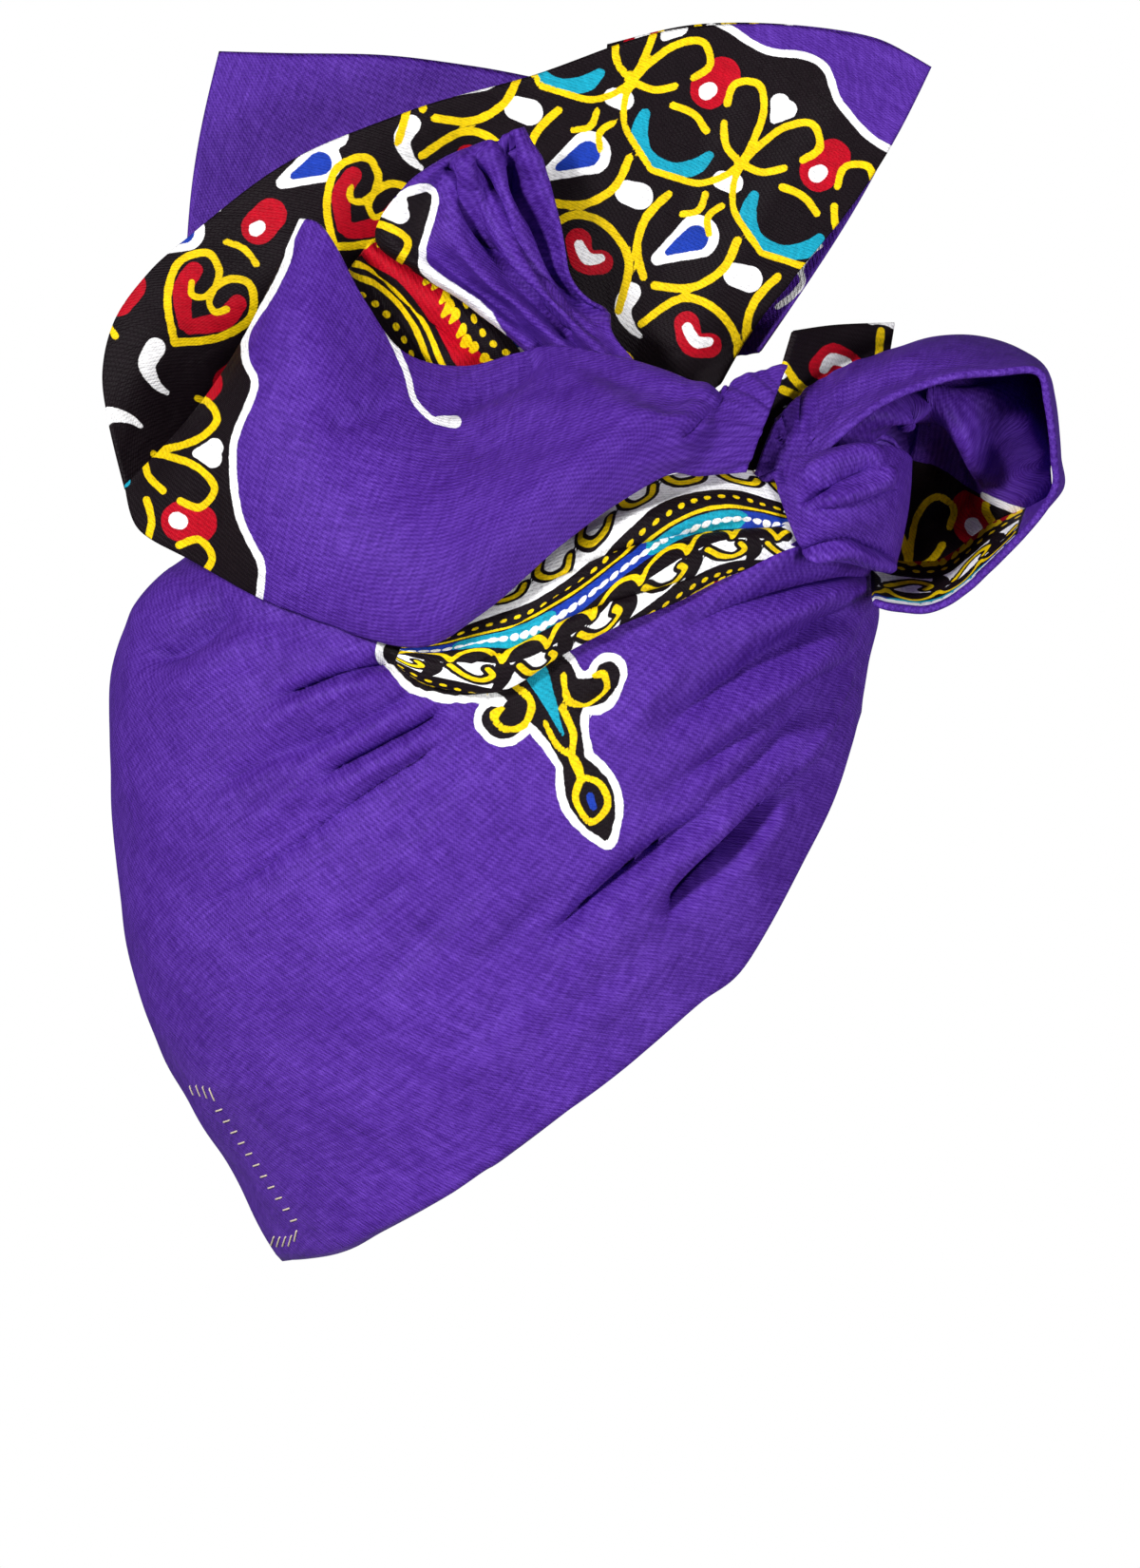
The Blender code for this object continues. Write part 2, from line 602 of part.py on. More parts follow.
def main():
    """Make every piece of the head wrap and set each one against those that hold it."""
    clear_scene()
    wrap = new_collection("head_wrap")
    plain = cotton("purple_cotton", PURPLE)
    printed = cotton("printed_cotton", BLACK_PRINT)
    made = (
        make_cap(wrap, plain),
        make_twist(wrap, printed),
        make_lobe(wrap, plain),
        make_knot(wrap, plain),
        make_loop(wrap, plain),
        make_loop_wall(wrap, plain),
        make_tab(wrap, printed),
        make_fan(wrap, printed),
        make_fan_back(wrap, plain),
        make_flap(wrap, plain),
        make_pleats(wrap, plain),
        make_inner_folds(wrap, printed),
    )
    pieces = {obj.name: obj for obj in made}
    for rule in SEATS:
        seat(pieces, rule)


main()
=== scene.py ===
"""Looks of a head wrap tied from one long strip of wax-printed cotton.

The wearer faces +X, +Z is up and the camera looks along +Y at the wrap's side. Every
stretch of the strip is one sheet of cloth, lofted through the same short table of
sections as its solid, then creased, printed and woven here. Lengths are millimetres
unless a name says otherwise, and the finished meshes are in metres.

The print is drawn in code: each ink keeps, at every point of the cloth, the distance
to the edge of its nearest stroke, and the material turns that distance into an edge.
"""

import logging
import math
from dataclasses import dataclass, field
from enum import Enum
from typing import NamedTuple, Optional, Sequence

import bpy
import numpy as np
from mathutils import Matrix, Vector
from mathutils.bvhtree import BVHTree


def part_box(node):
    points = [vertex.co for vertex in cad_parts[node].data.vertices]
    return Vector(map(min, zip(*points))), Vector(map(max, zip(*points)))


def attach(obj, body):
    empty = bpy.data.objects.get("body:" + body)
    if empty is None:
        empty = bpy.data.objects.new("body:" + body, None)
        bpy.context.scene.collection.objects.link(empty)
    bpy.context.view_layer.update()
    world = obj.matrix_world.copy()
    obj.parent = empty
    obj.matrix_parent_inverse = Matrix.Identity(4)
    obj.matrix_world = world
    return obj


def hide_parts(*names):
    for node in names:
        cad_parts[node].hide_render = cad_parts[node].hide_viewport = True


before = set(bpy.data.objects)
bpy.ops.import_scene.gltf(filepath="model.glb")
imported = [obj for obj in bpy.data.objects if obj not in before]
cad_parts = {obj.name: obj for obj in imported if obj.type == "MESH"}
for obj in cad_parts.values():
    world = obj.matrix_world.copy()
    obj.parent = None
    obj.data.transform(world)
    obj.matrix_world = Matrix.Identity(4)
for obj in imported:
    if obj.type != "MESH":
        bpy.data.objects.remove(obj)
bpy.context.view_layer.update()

LOG = logging.getLogger("head_wrap")
MM = 0.001
BODY = "root"

Array = np.ndarray
Tree = bpy.types.NodeTree
Socket = bpy.types.NodeSocket
Point = tuple[float, float]
Line = tuple[Point, ...]


class Ink(Enum):
    """The inks of the print, from the lowest to the one printed last."""

    GROUND = 0
    WHITE = 1
    LINE = 2
    RED = 3
    BLUE = 4
    TEAL = 5
    YELLOW = 6
    PEARL = 7


class Held(Enum):
    """How a stretch of cloth is kept in its form."""

    STRETCHED = "stretched"
    GATHERED = "gathered"
    FOLDED = "folded"


class Slot(Enum):
    """The record's material slots."""

    PURPLE = "purple_cotton"
    PRINTED = "printed_cotton"


class Crease(Enum):
    """The shape of a fold across its line."""

    SOFT = "soft"
    SHARP = "sharp"
    STEP = "step"


class Section(NamedTuple):
    """One section of a lofted sheet, from its low point to its top point."""

    low_x: float
    low_z: float
    low_y: float
    top_x: float
    top_z: float
    top_y: float
    swell_y: float
    peak: float = 0.5
    swell_x: float = 0.0
    swell_z: float = 0.0


class Level(NamedTuple):
    """One level of the cap: the back and front of its profile and its half width."""

    z: float
    back: float
    front: float
    half_width: float


class Fold(NamedTuple):
    """A fold in the cloth, seen from the side: a positive height is a ridge."""

    line: Line
    height: float
    width: float
    start_fade: float = 0.3
    end_fade: float = 0.3
    crease: Crease = Crease.SOFT


class Stroke(NamedTuple):
    """One stroke of ink: points of its middle line with the half width at each."""

    ink: Ink
    points: tuple[tuple[float, float, float], ...]


class Row(NamedTuple):
    """A row of one motif, repeated along the print's edge at a distance from it."""

    depth: float
    period: float
    phase: float
    strokes: tuple[Stroke, ...]
    size: float = 1.0


# Ink distances are kept up to this far from a stroke, and three of them to an attribute.
INKS = len(Ink)
FAR = 6.0
INK_GROUPS = ("ink_low", "ink_middle", "ink_top")

# The white line along the print's edge, a thinner one, and how far a print takes to fade.
BORDER_WIDTH = 2.0
THIN_LINE = 1.6
PRINT_FADE = 2.0

# How far above the cap's face the middle of a sheet that lies on it runs.
LIE_LIFT = 1.5

# How wide the rounding of a sheet's edge is, in thicknesses.
EDGE_ROUNDING = 0.6

# How far from its line a fold still shows, in widths, and the shapes of two kinds.
FOLD_REACH = 3.2
SHARP_ROUNDING = 0.04
SHARP_FALL = 1.6
SHARP_HEIGHT = 1.35
STEP_FACE = 0.9


def linear(hex_colour: str) -> tuple[float, float, float, float]:
    """Turn an sRGB hex value into the linear colour that a shader takes.

    Args:
        hex_colour: six hex digits, red first.

    Returns:
        Linear red, green and blue, with an alpha of 1.
    """
    parts = [int(hex_colour[i : i + 2], 16) / 255 for i in (0, 2, 4)]
    red, green, blue = (p / 12.92 if p <= 0.04045 else ((p + 0.055) / 1.055) ** 2.4 for p in parts)
    return red, green, blue, 1.0


def smooth_rows(rows: Array, position: Array) -> Array:
    """Blend table rows on a smooth curve that passes through all of them.

    Args:
        rows: the table, one row for each section.
        position: fractional row numbers.

    Returns:
        One blended row for each position.
    """
    last = len(rows) - 1
    position = np.clip(position, 0.0, last)
    start = np.minimum(position.astype(int), last - 1)
    t = (position - start)[:, None]
    a, b = rows[np.maximum(start - 1, 0)], rows[start]
    c, d = rows[start + 1], rows[np.minimum(start + 2, last)]
    return 0.5 * (2 * b + (c - a) * t + (2 * a - 5 * b + 4 * c - d) * t**2 + (3 * b - a - 3 * c + d) * t**3)


def smooth_line(points: Sequence[Sequence[float]], parts: int) -> Array:
    """Round a line of a few points into one of many.

    Args:
        points: the points, each with any number of columns.
        parts: pieces that each span is cut into.

    Returns:
        The points of the smooth line.
    """
    rows = np.array(points, float)
    return smooth_rows(rows, np.linspace(0, len(rows) - 1, (len(rows) - 1) * parts + 1))


def away_from_line(x: Array, z: Array, line: Array) -> tuple[Array, Array]:
    """Measure how far points lie from a line, and where along it.

    Args:
        x: first coordinates of the points.
        z: second coordinates of the points.
        line: the points of the line.

    Returns:
        The distance, positive on the line's left, and the share of the line's length.
    """
    best = np.full(x.shape, np.inf)
    signed = np.zeros(x.shape)
    share = np.zeros(x.shape)
    lengths = np.hypot(*np.diff(line[:, :2], axis=0).T)
    starts = np.concatenate(([0.0], np.cumsum(lengths)))
    for i, length in enumerate(lengths):
        ax, az = line[i, :2]
        ux, uz = (line[i + 1, :2] - line[i, :2]) / max(length, 1e-9)
        along = np.clip((x - ax) * ux + (z - az) * uz, 0, length)
        dx, dz = x - ax - along * ux, z - az - along * uz
        distance = np.hypot(dx, dz)
        nearer = distance < best
        best = np.where(nearer, distance, best)
        signed = np.where(nearer, np.where(ux * dz - uz * dx >= 0, distance, -distance), signed)
        share = np.where(nearer, (starts[i] + along) / starts[-1], share)
    return signed, share


def crowded(count: int, density: Sequence[Point]) -> Array:
    """Spread positions from 0 to 1, closer together where the cloth has detail.

    Args:
        count: how many positions.
        density: places from 0 to 1, each with how densely they lie there.

    Returns:
        The positions.
    """
    t = np.linspace(0, 1, 1001)
    places, weights = np.array(density, float).T
    total = np.cumsum(np.interp(t, places, weights))
    return np.interp(np.linspace(total[0], total[-1], count), total, t)


def fold_relief(x: Array, z: Array, folds: Sequence[Fold]) -> Array:
    """Add up how far folds raise or sink a sheet at points of its side view.

    Args:
        x: distances forward.
        z: heights.
        folds: the folds of the sheet.

    Returns:
        The height of the relief at each point.
    """
    relief = np.zeros(x.shape)
    for fold in folds:
        line = smooth_line(fold.line, 5)
        reach = FOLD_REACH * fold.width
        low, high = line.min(0) - reach, line.max(0) + reach
        near = (x > low[0]) & (x < high[0]) & (z > low[1]) & (z < high[1])
        if not near.any():
            continue
        away, share = away_from_line(x[near], z[near], line)
        rise = np.clip(share / fold.start_fade, 0, 1) * np.clip((1 - share) / fold.end_fade, 0, 1)
        rise = rise * rise * (3 - 2 * rise)
        if fold.crease is Crease.SOFT:
            profile = np.exp(-((away / fold.width) ** 2))
        elif fold.crease is Crease.SHARP:
            blunt = np.sqrt((away / fold.width) ** 2 + SHARP_ROUNDING)
            profile = np.exp(-blunt * SHARP_FALL) * SHARP_HEIGHT
        else:
            slope, face = np.exp(-np.abs(away) / fold.width), np.exp(-((away / STEP_FACE) ** 2))
            profile = np.where(away > 0, slope, face)
        relief[near] += fold.height * rise * profile
    return relief


def ripple(points: Array, height: float) -> Array:
    """Give cloth the faint unevenness that keeps it from looking pressed.

    Args:
        points: positions on the cloth.
        height: how far the unevenness reaches.

    Returns:
        A small relief at each position.
    """
    waves = (
        (0.105, 0.040, 0.085, 0.3),
        (-0.070, 0.110, 0.125, 1.9),
        (0.160, -0.060, -0.090, 4.1),
        (0.045, 0.150, -0.175, 2.6),
        (-0.210, 0.080, 0.140, 5.2),
    )
    total = sum(np.sin(points @ np.array(wave[:3]) + wave[3]) for wave in waves)
    return height * total / len(waves)


def pulled(x: Array, z: Array, focus: Point, height: float, reach: float) -> Array:
    """Fine wrinkles that spread from where the cloth is pulled together.

    Args:
        x: distances forward.
        z: heights.
        focus: where the cloth is pulled to.
        height: how high the wrinkles stand.
        reach: how far they spread.

    Returns:
        A small relief at each point.
    """
    away = np.hypot(x - focus[0], z - focus[1])
    angle = np.arctan2(z - focus[1], x - focus[0])
    wander = 0.5 * np.sin(away / 17.0) + 0.3 * np.sin(away / 9.0 + 1.0)
    total = sum(
        np.sin(count * angle + phase + wander) * (0.6 + 0.4 * np.sin(away / length + phase))
        for count, phase, length in ((19.0, 0.4, 23.0), (31.0, 2.2, 15.0), (47.0, 4.0, 11.0))
    )
    fade = np.clip(away / 12.0, 0, 1) * np.exp(-((away / reach) ** 2))
    return height * total / 3 * fade


def stroke_distance(x: Array, y: Array, points: Sequence[Sequence[float]]) -> Array:
    """Measure how far points lie from the edge of a stroke, negative inside it.

    Args:
        x: first coordinates of the points.
        y: second coordinates of the points.
        points: the stroke's points, each with its half width.

    Returns:
        The distance at each point.
    """
    line = smooth_line(points, 5) if len(points) > 2 else np.array(points, float)
    best = np.full(x.shape, FAR)
    for (ax, ay, ar), (bx, by, br) in zip(line, line[1:]):
        ux, uy = bx - ax, by - ay
        t = np.clip(((x - ax) * ux + (y - ay) * uy) / max(ux * ux + uy * uy, 1e-9), 0, 1)
        np.minimum(best, np.hypot(x - ax - t * ux, y - ay - t * uy) - ar - (br - ar) * t, out=best)
    return best


def blank_inks(shape: tuple[int, ...]) -> Array:
    """Ink distances of cloth with no print, one column for each ink."""
    return np.full((*shape, INKS), FAR)


def lay_stroke(inks: Array, x: Array, y: Array, stroke: Stroke, size: float = 1.0) -> None:
    """Draw one stroke into the ink distances, where it comes near.

    Args:
        inks: ink distances, changed in place.
        x: first print coordinates of the points.
        y: second print coordinates of the points.
        stroke: the stroke to draw.
        size: how many times larger than its drawing it is printed.
    """
    x, y = x / size, y / size
    reach = max(p[2] for p in stroke.points) + 3.0
    xs, ys = [p[0] for p in stroke.points], [p[1] for p in stroke.points]
    near = (x > min(xs) - reach) & (x < max(xs) + reach) & (y > min(ys) - reach) & (y < max(ys) + reach)
    if near.any():
        column = inks[near, stroke.ink.value]
        distance = stroke_distance(x[near], y[near], stroke.points) * size
        inks[near, stroke.ink.value] = np.minimum(column, distance)


def mirrored(stroke: Stroke) -> Stroke:
    """The same stroke on the other side of the motif's middle line."""
    return Stroke(stroke.ink, tuple((-x, y, r) for x, y, r in stroke.points))


def both(*strokes: Stroke) -> tuple[Stroke, ...]:
    """The strokes together with their mirror images."""
    return strokes + tuple(mirrored(stroke) for stroke in strokes)


def drawn(ink: Ink, width: float, *points: Point) -> Stroke:
    """A stroke of even width through a few points."""
    return Stroke(ink, tuple((x, y, width / 2) for x, y in points))


# Motifs of the field print. x runs along the print's edge and y away from it.
OUTLINE_WIDTH = 1.75

VOLUTES = both(
    drawn(Ink.YELLOW, OUTLINE_WIDTH, (0, 10), (-0.8, 4), (-3.2, -3.5), (-8, -8), (-12.6, -4.6), (-11.2, 0.2)),
    drawn(Ink.YELLOW, OUTLINE_WIDTH, (-1, 9.6), (-5.5, 8.2), (-9, 4.4)),
) + (
    Stroke(Ink.WHITE, ((-1.1, -7.2, 2.3), (0, -3.4, 1))),
    Stroke(Ink.WHITE, ((1.3, -7.4, 2.3), (0, -3.4, 1))),
)

BERRY = (
    Stroke(Ink.RED, ((0, -3, 4.4), (0.4, 1.4, 4.6))),
    Stroke(Ink.PEARL, ((0.3, 1.4, 1.8), (0.7, 2.3, 1.9))),
    drawn(Ink.YELLOW, OUTLINE_WIDTH, (-5, 9.5), (0, 8.2), (5, 9.5)),
)

CRESCENT = (
    Stroke(
        Ink.TEAL,
        ((-8.8, -4, 1.1), (-7.6, 0.2, 1.9), (-3, 3.9, 1.5), (3, 4.4, 1.5), (7.3, 1.4, 1.9), (8.8, -2.8, 1.2)),
    ),
)

NET = both(
    drawn(Ink.YELLOW, OUTLINE_WIDTH, (-18, -9.5), (-17, -2), (-12.5, 4.6), (-5, 7.8), (0, 9.6)),
    drawn(Ink.YELLOW, OUTLINE_WIDTH, (-15.4, 6), (-16.6, 10.4), (-13.6, 13.8)),
)

SEED = (Stroke(Ink.WHITE, ((-1.2, 0.0, 2.5), (1.3, 0.9, 2.2))),)

DROP = (
    Stroke(Ink.WHITE, ((-1.9, -3.4, 4.8), (2.3, 5.4, 1.5))),
    Stroke(Ink.BLUE, ((-1.8, -3.1, 2.8), (1.2, 2.9, 0.8))),
    drawn(Ink.YELLOW, OUTLINE_WIDTH, (-9.4, -8), (-10.6, -1), (-7.4, 6.2), (-0.6, 10.4)),
    drawn(Ink.YELLOW, OUTLINE_WIDTH, (8.8, -7), (9.6, 0), (7.2, 6.4), (2.4, 10.4)),
)

KISS = (
    Stroke(Ink.RED, ((-3.2, 0.4, 2.7), (0, 2.4, 2.6), (3.4, -0.4, 2.7))),
    Stroke(Ink.PEARL, ((-2.6, -0.2, 1), (-0.4, 1.6, 1.3), (2.8, 0.2, 1.1))),
    drawn(Ink.YELLOW, OUTLINE_WIDTH, (-12.6, 6.4), (-8, -3.4), (0, -6.6), (7.6, -4.2), (11.6, 5.6)),
)

COMMA = (Stroke(Ink.WHITE, ((-4.6, 2.6, 0.5), (-1.6, 2.4, 1.0), (1.8, 0.4, 1.7), (2.4, -3.2, 2.0))),)

HEART = both(
    drawn(Ink.YELLOW, 1.9, (0, 13), (-7.6, 5.6), (-11, -3.2), (-7, -9.6), (-2, -8.2), (0, -4.4)),
    drawn(Ink.YELLOW, 1.6, (0, -4.4), (-0.8, -0.4), (-3.6, 1), (-5.4, -1.4)),
    Stroke(Ink.RED, ((-6.8, -4.2, 2.2), (-6, 1.6, 2.4), (-0.8, 7.6, 1.8))),
)

# The field print, from its wavy edge into the cloth. Past the last row it runs back.
FIELD_ROWS = (
    Row(17, 36, 4, VOLUTES, 1.1),
    Row(15.5, 36, 22, BERRY, 1.12),
    Row(35.5, 36, 22, CRESCENT, 1.15),
    Row(33.5, 36, 22, NET),
    Row(33, 36, 4, SEED, 1.1),
    Row(50.5, 36, 22, SEED, 1.4),
    Row(54, 36, 4, DROP, 1.22),
    Row(70, 36, 22, KISS, 1.2),
    Row(76, 36, 4, COMMA, 1.3),
    Row(86, 36, 22, SEED, 1.2),
    Row(96, 36, 4, HEART, 1.05),
    Row(98, 36, 22, DROP[:2], 1.15),
    Row(116, 36, 4, COMMA, 1.4),
    Row(116, 36, 22, BERRY, 1),
    Row(134, 36, 4, DROP[:2], 1.2),
    Row(141, 36, 22, HEART, 1.05),
    Row(153, 36, 4, BERRY, 1),
    Row(163, 36, 22, COMMA, 1.3),
)
FIELD_TURN = 172.0

# Motifs of the banded print, which x runs along.
HOOK = (
    drawn(Ink.YELLOW, 1.8, (-4.6, -7), (-6.2, -2.2), (-3.6, 2.4), (1.6, 2.6), (3.8, -0.6)),
    Stroke(Ink.LINE, ((-4.4, -9.4, 2.2), (-6, -2.2, 1.6))),
)
ARCHES = (drawn(Ink.YELLOW, 1.7, (-7.0, 3.4), (-4.6, -1.0), (0.0, -2.8), (4.6, -1.0), (7.0, 3.4)),)
CURL = (
    drawn(Ink.YELLOW, 1.8, (-7, -3), (-3, 1.6), (1.6, 3.2), (5, 0.6), (3.4, -2.2)),
    Stroke(Ink.LINE, ((6.4, -7, 1.6), (8.2, 0, 2.4), (6.8, 6, 1.4))),
)
TEETH = both(
    Stroke(Ink.YELLOW, ((0, -2, 1.5), (0, 1.2, 0.6))),
    Stroke(Ink.YELLOW, ((-2.6, -2.6, 1.3), (-2.6, 0, 0.5))),
)


def band(ink: Ink, half_width: float) -> tuple[Stroke, ...]:
    """An unbroken band of one ink along the print."""
    return (Stroke(ink, ((-30.0, 0.0, half_width), (30.0, 0.0, half_width))),)


def dot(ink: Ink, radius: float) -> tuple[Stroke, ...]:
    """A round dot of one ink."""
    return (Stroke(ink, ((-0.2, 0.0, radius), (0.2, 0.0, radius))),)


# The banded print across the strip, from its upper edge down.
BAND_ROWS = (
    Row(8.5, 60, 0, band(Ink.WHITE, 8)),
    Row(8, 14.5, 3, HOOK),
    Row(20.6, 4, 0, dot(Ink.YELLOW, 0.85)),
    Row(29, 60, 0, band(Ink.BLUE, 3.4)),
    Row(29, 58, 29, (Stroke(Ink.TEAL, ((-12, 0, 3.5), (12, 0, 3.5))),)),
    Row(29.4, 3.1, 0, dot(Ink.PEARL, 1.15)),
    Row(24.2, 60, 0, band(Ink.YELLOW, 0.6)),
    Row(36.2, 14, 7, ARCHES),
    Row(45.5, 60, 0, band(Ink.WHITE, 5.2)),
    Row(45, 19, 2, CURL),
    Row(55, 4, 2, dot(Ink.YELLOW, 0.85)),
    Row(63, 60, 0, band(Ink.RED, 4.2)),
    Row(61.5, 9, 0, TEETH),
    Row(70, 60, 0, band(Ink.YELLOW, 0.8)),
    Row(73, 60, 0, band(Ink.YELLOW, 0.8)),
    Row(77, 4, 0, dot(Ink.YELLOW, 0.85)),
)

# The ornament that hangs from the banded print on the cap, in the cap's side view.
PENDANT_DOTS = ((-0.6, -58), (-0.4, -54.4), (1.8, -47), (5.4, -45.4), (9.2, -44.8), (13, -45), (16.4, -46.6))
PENDANT = (
    Stroke(Ink.LINE, ((-25, -47, 2), (-16, -51, 5.5), (-6, -52, 6.5), (4, -50, 7))),
    Stroke(Ink.LINE, ((8, -50, 9.5), (15, -57, 8.5), (19, -67, 5), (22.5, -76, 3))),
    Stroke(Ink.LINE, ((10, -60, 4.2), (4.5, -66, 3.6), (1.5, -64.5, 3.2))),
    Stroke(Ink.LINE, ((22, -58, 4), (28.5, -57.5, 3.6), (31, -52.5, 3))),
    Stroke(Ink.LINE, ((22.5, -76, 3.2), (26.5, -85, 6), (30.5, -95, 1.2))),
    drawn(Ink.YELLOW, 1.8, (-22, -49), (-16, -54.5), (-7, -56), (0.5, -52)),
    drawn(Ink.YELLOW, 1.7, (6.5, -55.5), (11, -60), (9.5, -66), (4, -67), (1.6, -63.6), (3.6, -62)),
    drawn(Ink.YELLOW, 1.7, (19.5, -53), (20.5, -59.5), (25.5, -61), (30, -57.5), (30, -53), (27.4, -53.4)),
    drawn(Ink.YELLOW, 1.7, (19, -61.5), (22.2, -68.5), (21.6, -74.5), (24, -79.5)),
    drawn(Ink.YELLOW, 1.7, (14.6, -65.5), (18, -71.5), (22.8, -75), (24, -79.5)),
    drawn(Ink.YELLOW, 1.8, (24, -79.5), (22.6, -85.5), (26.4, -91), (30.8, -86.6), (28.8, -81), (24, -79.5)),
    Stroke(Ink.TEAL, ((12, -52, 3.2), (15.6, -59.5, 1.8), (19.4, -68.5, 0.5))),
    Stroke(Ink.RED, ((3.6, -51.5, 2.6), (6.8, -49.5, 2))),
    Stroke(Ink.BLUE, ((26.2, -84.4, 1), (27, -87.2, 0.9))),
) + tuple(Stroke(Ink.YELLOW, ((x, z, 0.8), (x + 0.1, z, 0.8))) for x, z in PENDANT_DOTS)
PENDANT_RIM = 2.0

# Added to the far side's places, so that the ornament stays on the near side.
PENDANT_CLEAR = 400.0

# How far the dark line of the bands stands out round their yellow.
OUTLINE_MARGIN = 1.2


@dataclass(frozen=True)
class PrintFrame:
    """Where the field print lies on a sheet, seen from the side.

    Attributes:
        x: forward place of the print's start.
        z: height of the print's start.
        turn: direction of the print's edge, in degrees from forward towards up.
        side: 1 where the print lies on the left of that direction, else -1.
    """

    x: float
    z: float
    turn: float
    side: int = 1

    def coordinates(self, x: Array, z: Array) -> tuple[Array, Array]:
        """Turn side view places into distances along and away from the print's edge.

        Args:
            x: forward places.
            z: heights.

        Returns:
            The distances along the edge, and away from it into the print.
        """
        c, s = math.cos(math.radians(self.turn)), math.sin(math.radians(self.turn))
        along = (x - self.x) * c + (z - self.z) * s
        away = ((z - self.z) * c - (x - self.x) * s) * self.side
        return along, away


def lay_rows(inks: Array, along: Array, away: Array, rows: Sequence[Row]) -> None:
    """Print rows of motifs.

    Args:
        inks: ink distances, changed in place.
        along: distance of each point along the print.
        away: distance of each point from the print's edge.
        rows: the rows to print.
    """
    for row in rows:
        local = (along - row.phase + row.period / 2) % row.period - row.period / 2
        depth = away - row.depth
        for stroke in row.strokes:
            for shift in (-row.period, 0.0, row.period):
                lay_stroke(inks, local + shift, depth, stroke, row.size)


def clear_outside(inks: Array, inside: Array) -> None:
    """Keep the print to one side of its edge.

    Args:
        inks: ink distances, changed in place.
        inside: distance of each point into the print.
    """
    inks[..., 1:] = np.maximum(inks[..., 1:], (1.0 - inside)[..., None])
    inks[..., Ink.GROUND.value] = -inside


def lay_field(x: Array, z: Array, edge: Line, where: PrintFrame) -> Array:
    """Print the field with its white wavy edge on a sheet that is purple beyond it.

    Args:
        x: forward places of the sheet's points.
        z: heights of the sheet's points.
        edge: the wavy edge, with the print on its left.
        where: how the field lies.

    Returns:
        The ink distances of the sheet.
    """
    inks = blank_inks(x.shape)
    along, away = where.coordinates(x, z)
    folded = np.where(away > FIELD_TURN, 2 * FIELD_TURN - away, away)
    lay_rows(inks, along, folded, FIELD_ROWS)
    line = smooth_line(edge, 6)
    signed, _ = away_from_line(x, z, line)
    clear_outside(inks, signed)
    border = np.abs(signed) - BORDER_WIDTH / 2
    inks[..., Ink.WHITE.value] = np.minimum(inks[..., Ink.WHITE.value], border)
    return inks


def lay_bands(along: Array, across: Array) -> Array:
    """Print the bands on a sheet that they cover.

    Args:
        along: distance of each point along the strip.
        across: distance of each point across the strip.

    Returns:
        The ink distances of the sheet.
    """
    inks = blank_inks(along.shape)
    lay_rows(inks, along, across, BAND_ROWS)
    inks[..., Ink.LINE.value] = np.minimum(
        inks[..., Ink.LINE.value], inks[..., Ink.YELLOW.value] - OUTLINE_MARGIN
    )
    inks[..., Ink.GROUND.value] = -FAR
    return inks


def add_node(tree: Tree, kind: str, inputs: Optional[dict] = None, **settings: object) -> bpy.types.Node:
    """Add a node with its settings and links.

    Args:
        tree: the material's node tree.
        kind: the node's type.
        inputs: a value for each named or numbered input, or the output that feeds it.
        settings: the node's own settings.

    Returns:
        The new node.
    """
    node = tree.nodes.new(kind)
    for name, value in settings.items():
        setattr(node, name, value)
    for name, value in (inputs or {}).items():
        if isinstance(value, Socket):
            tree.links.new(value, node.inputs[name])
        else:
            node.inputs[name].default_value = value
    return node


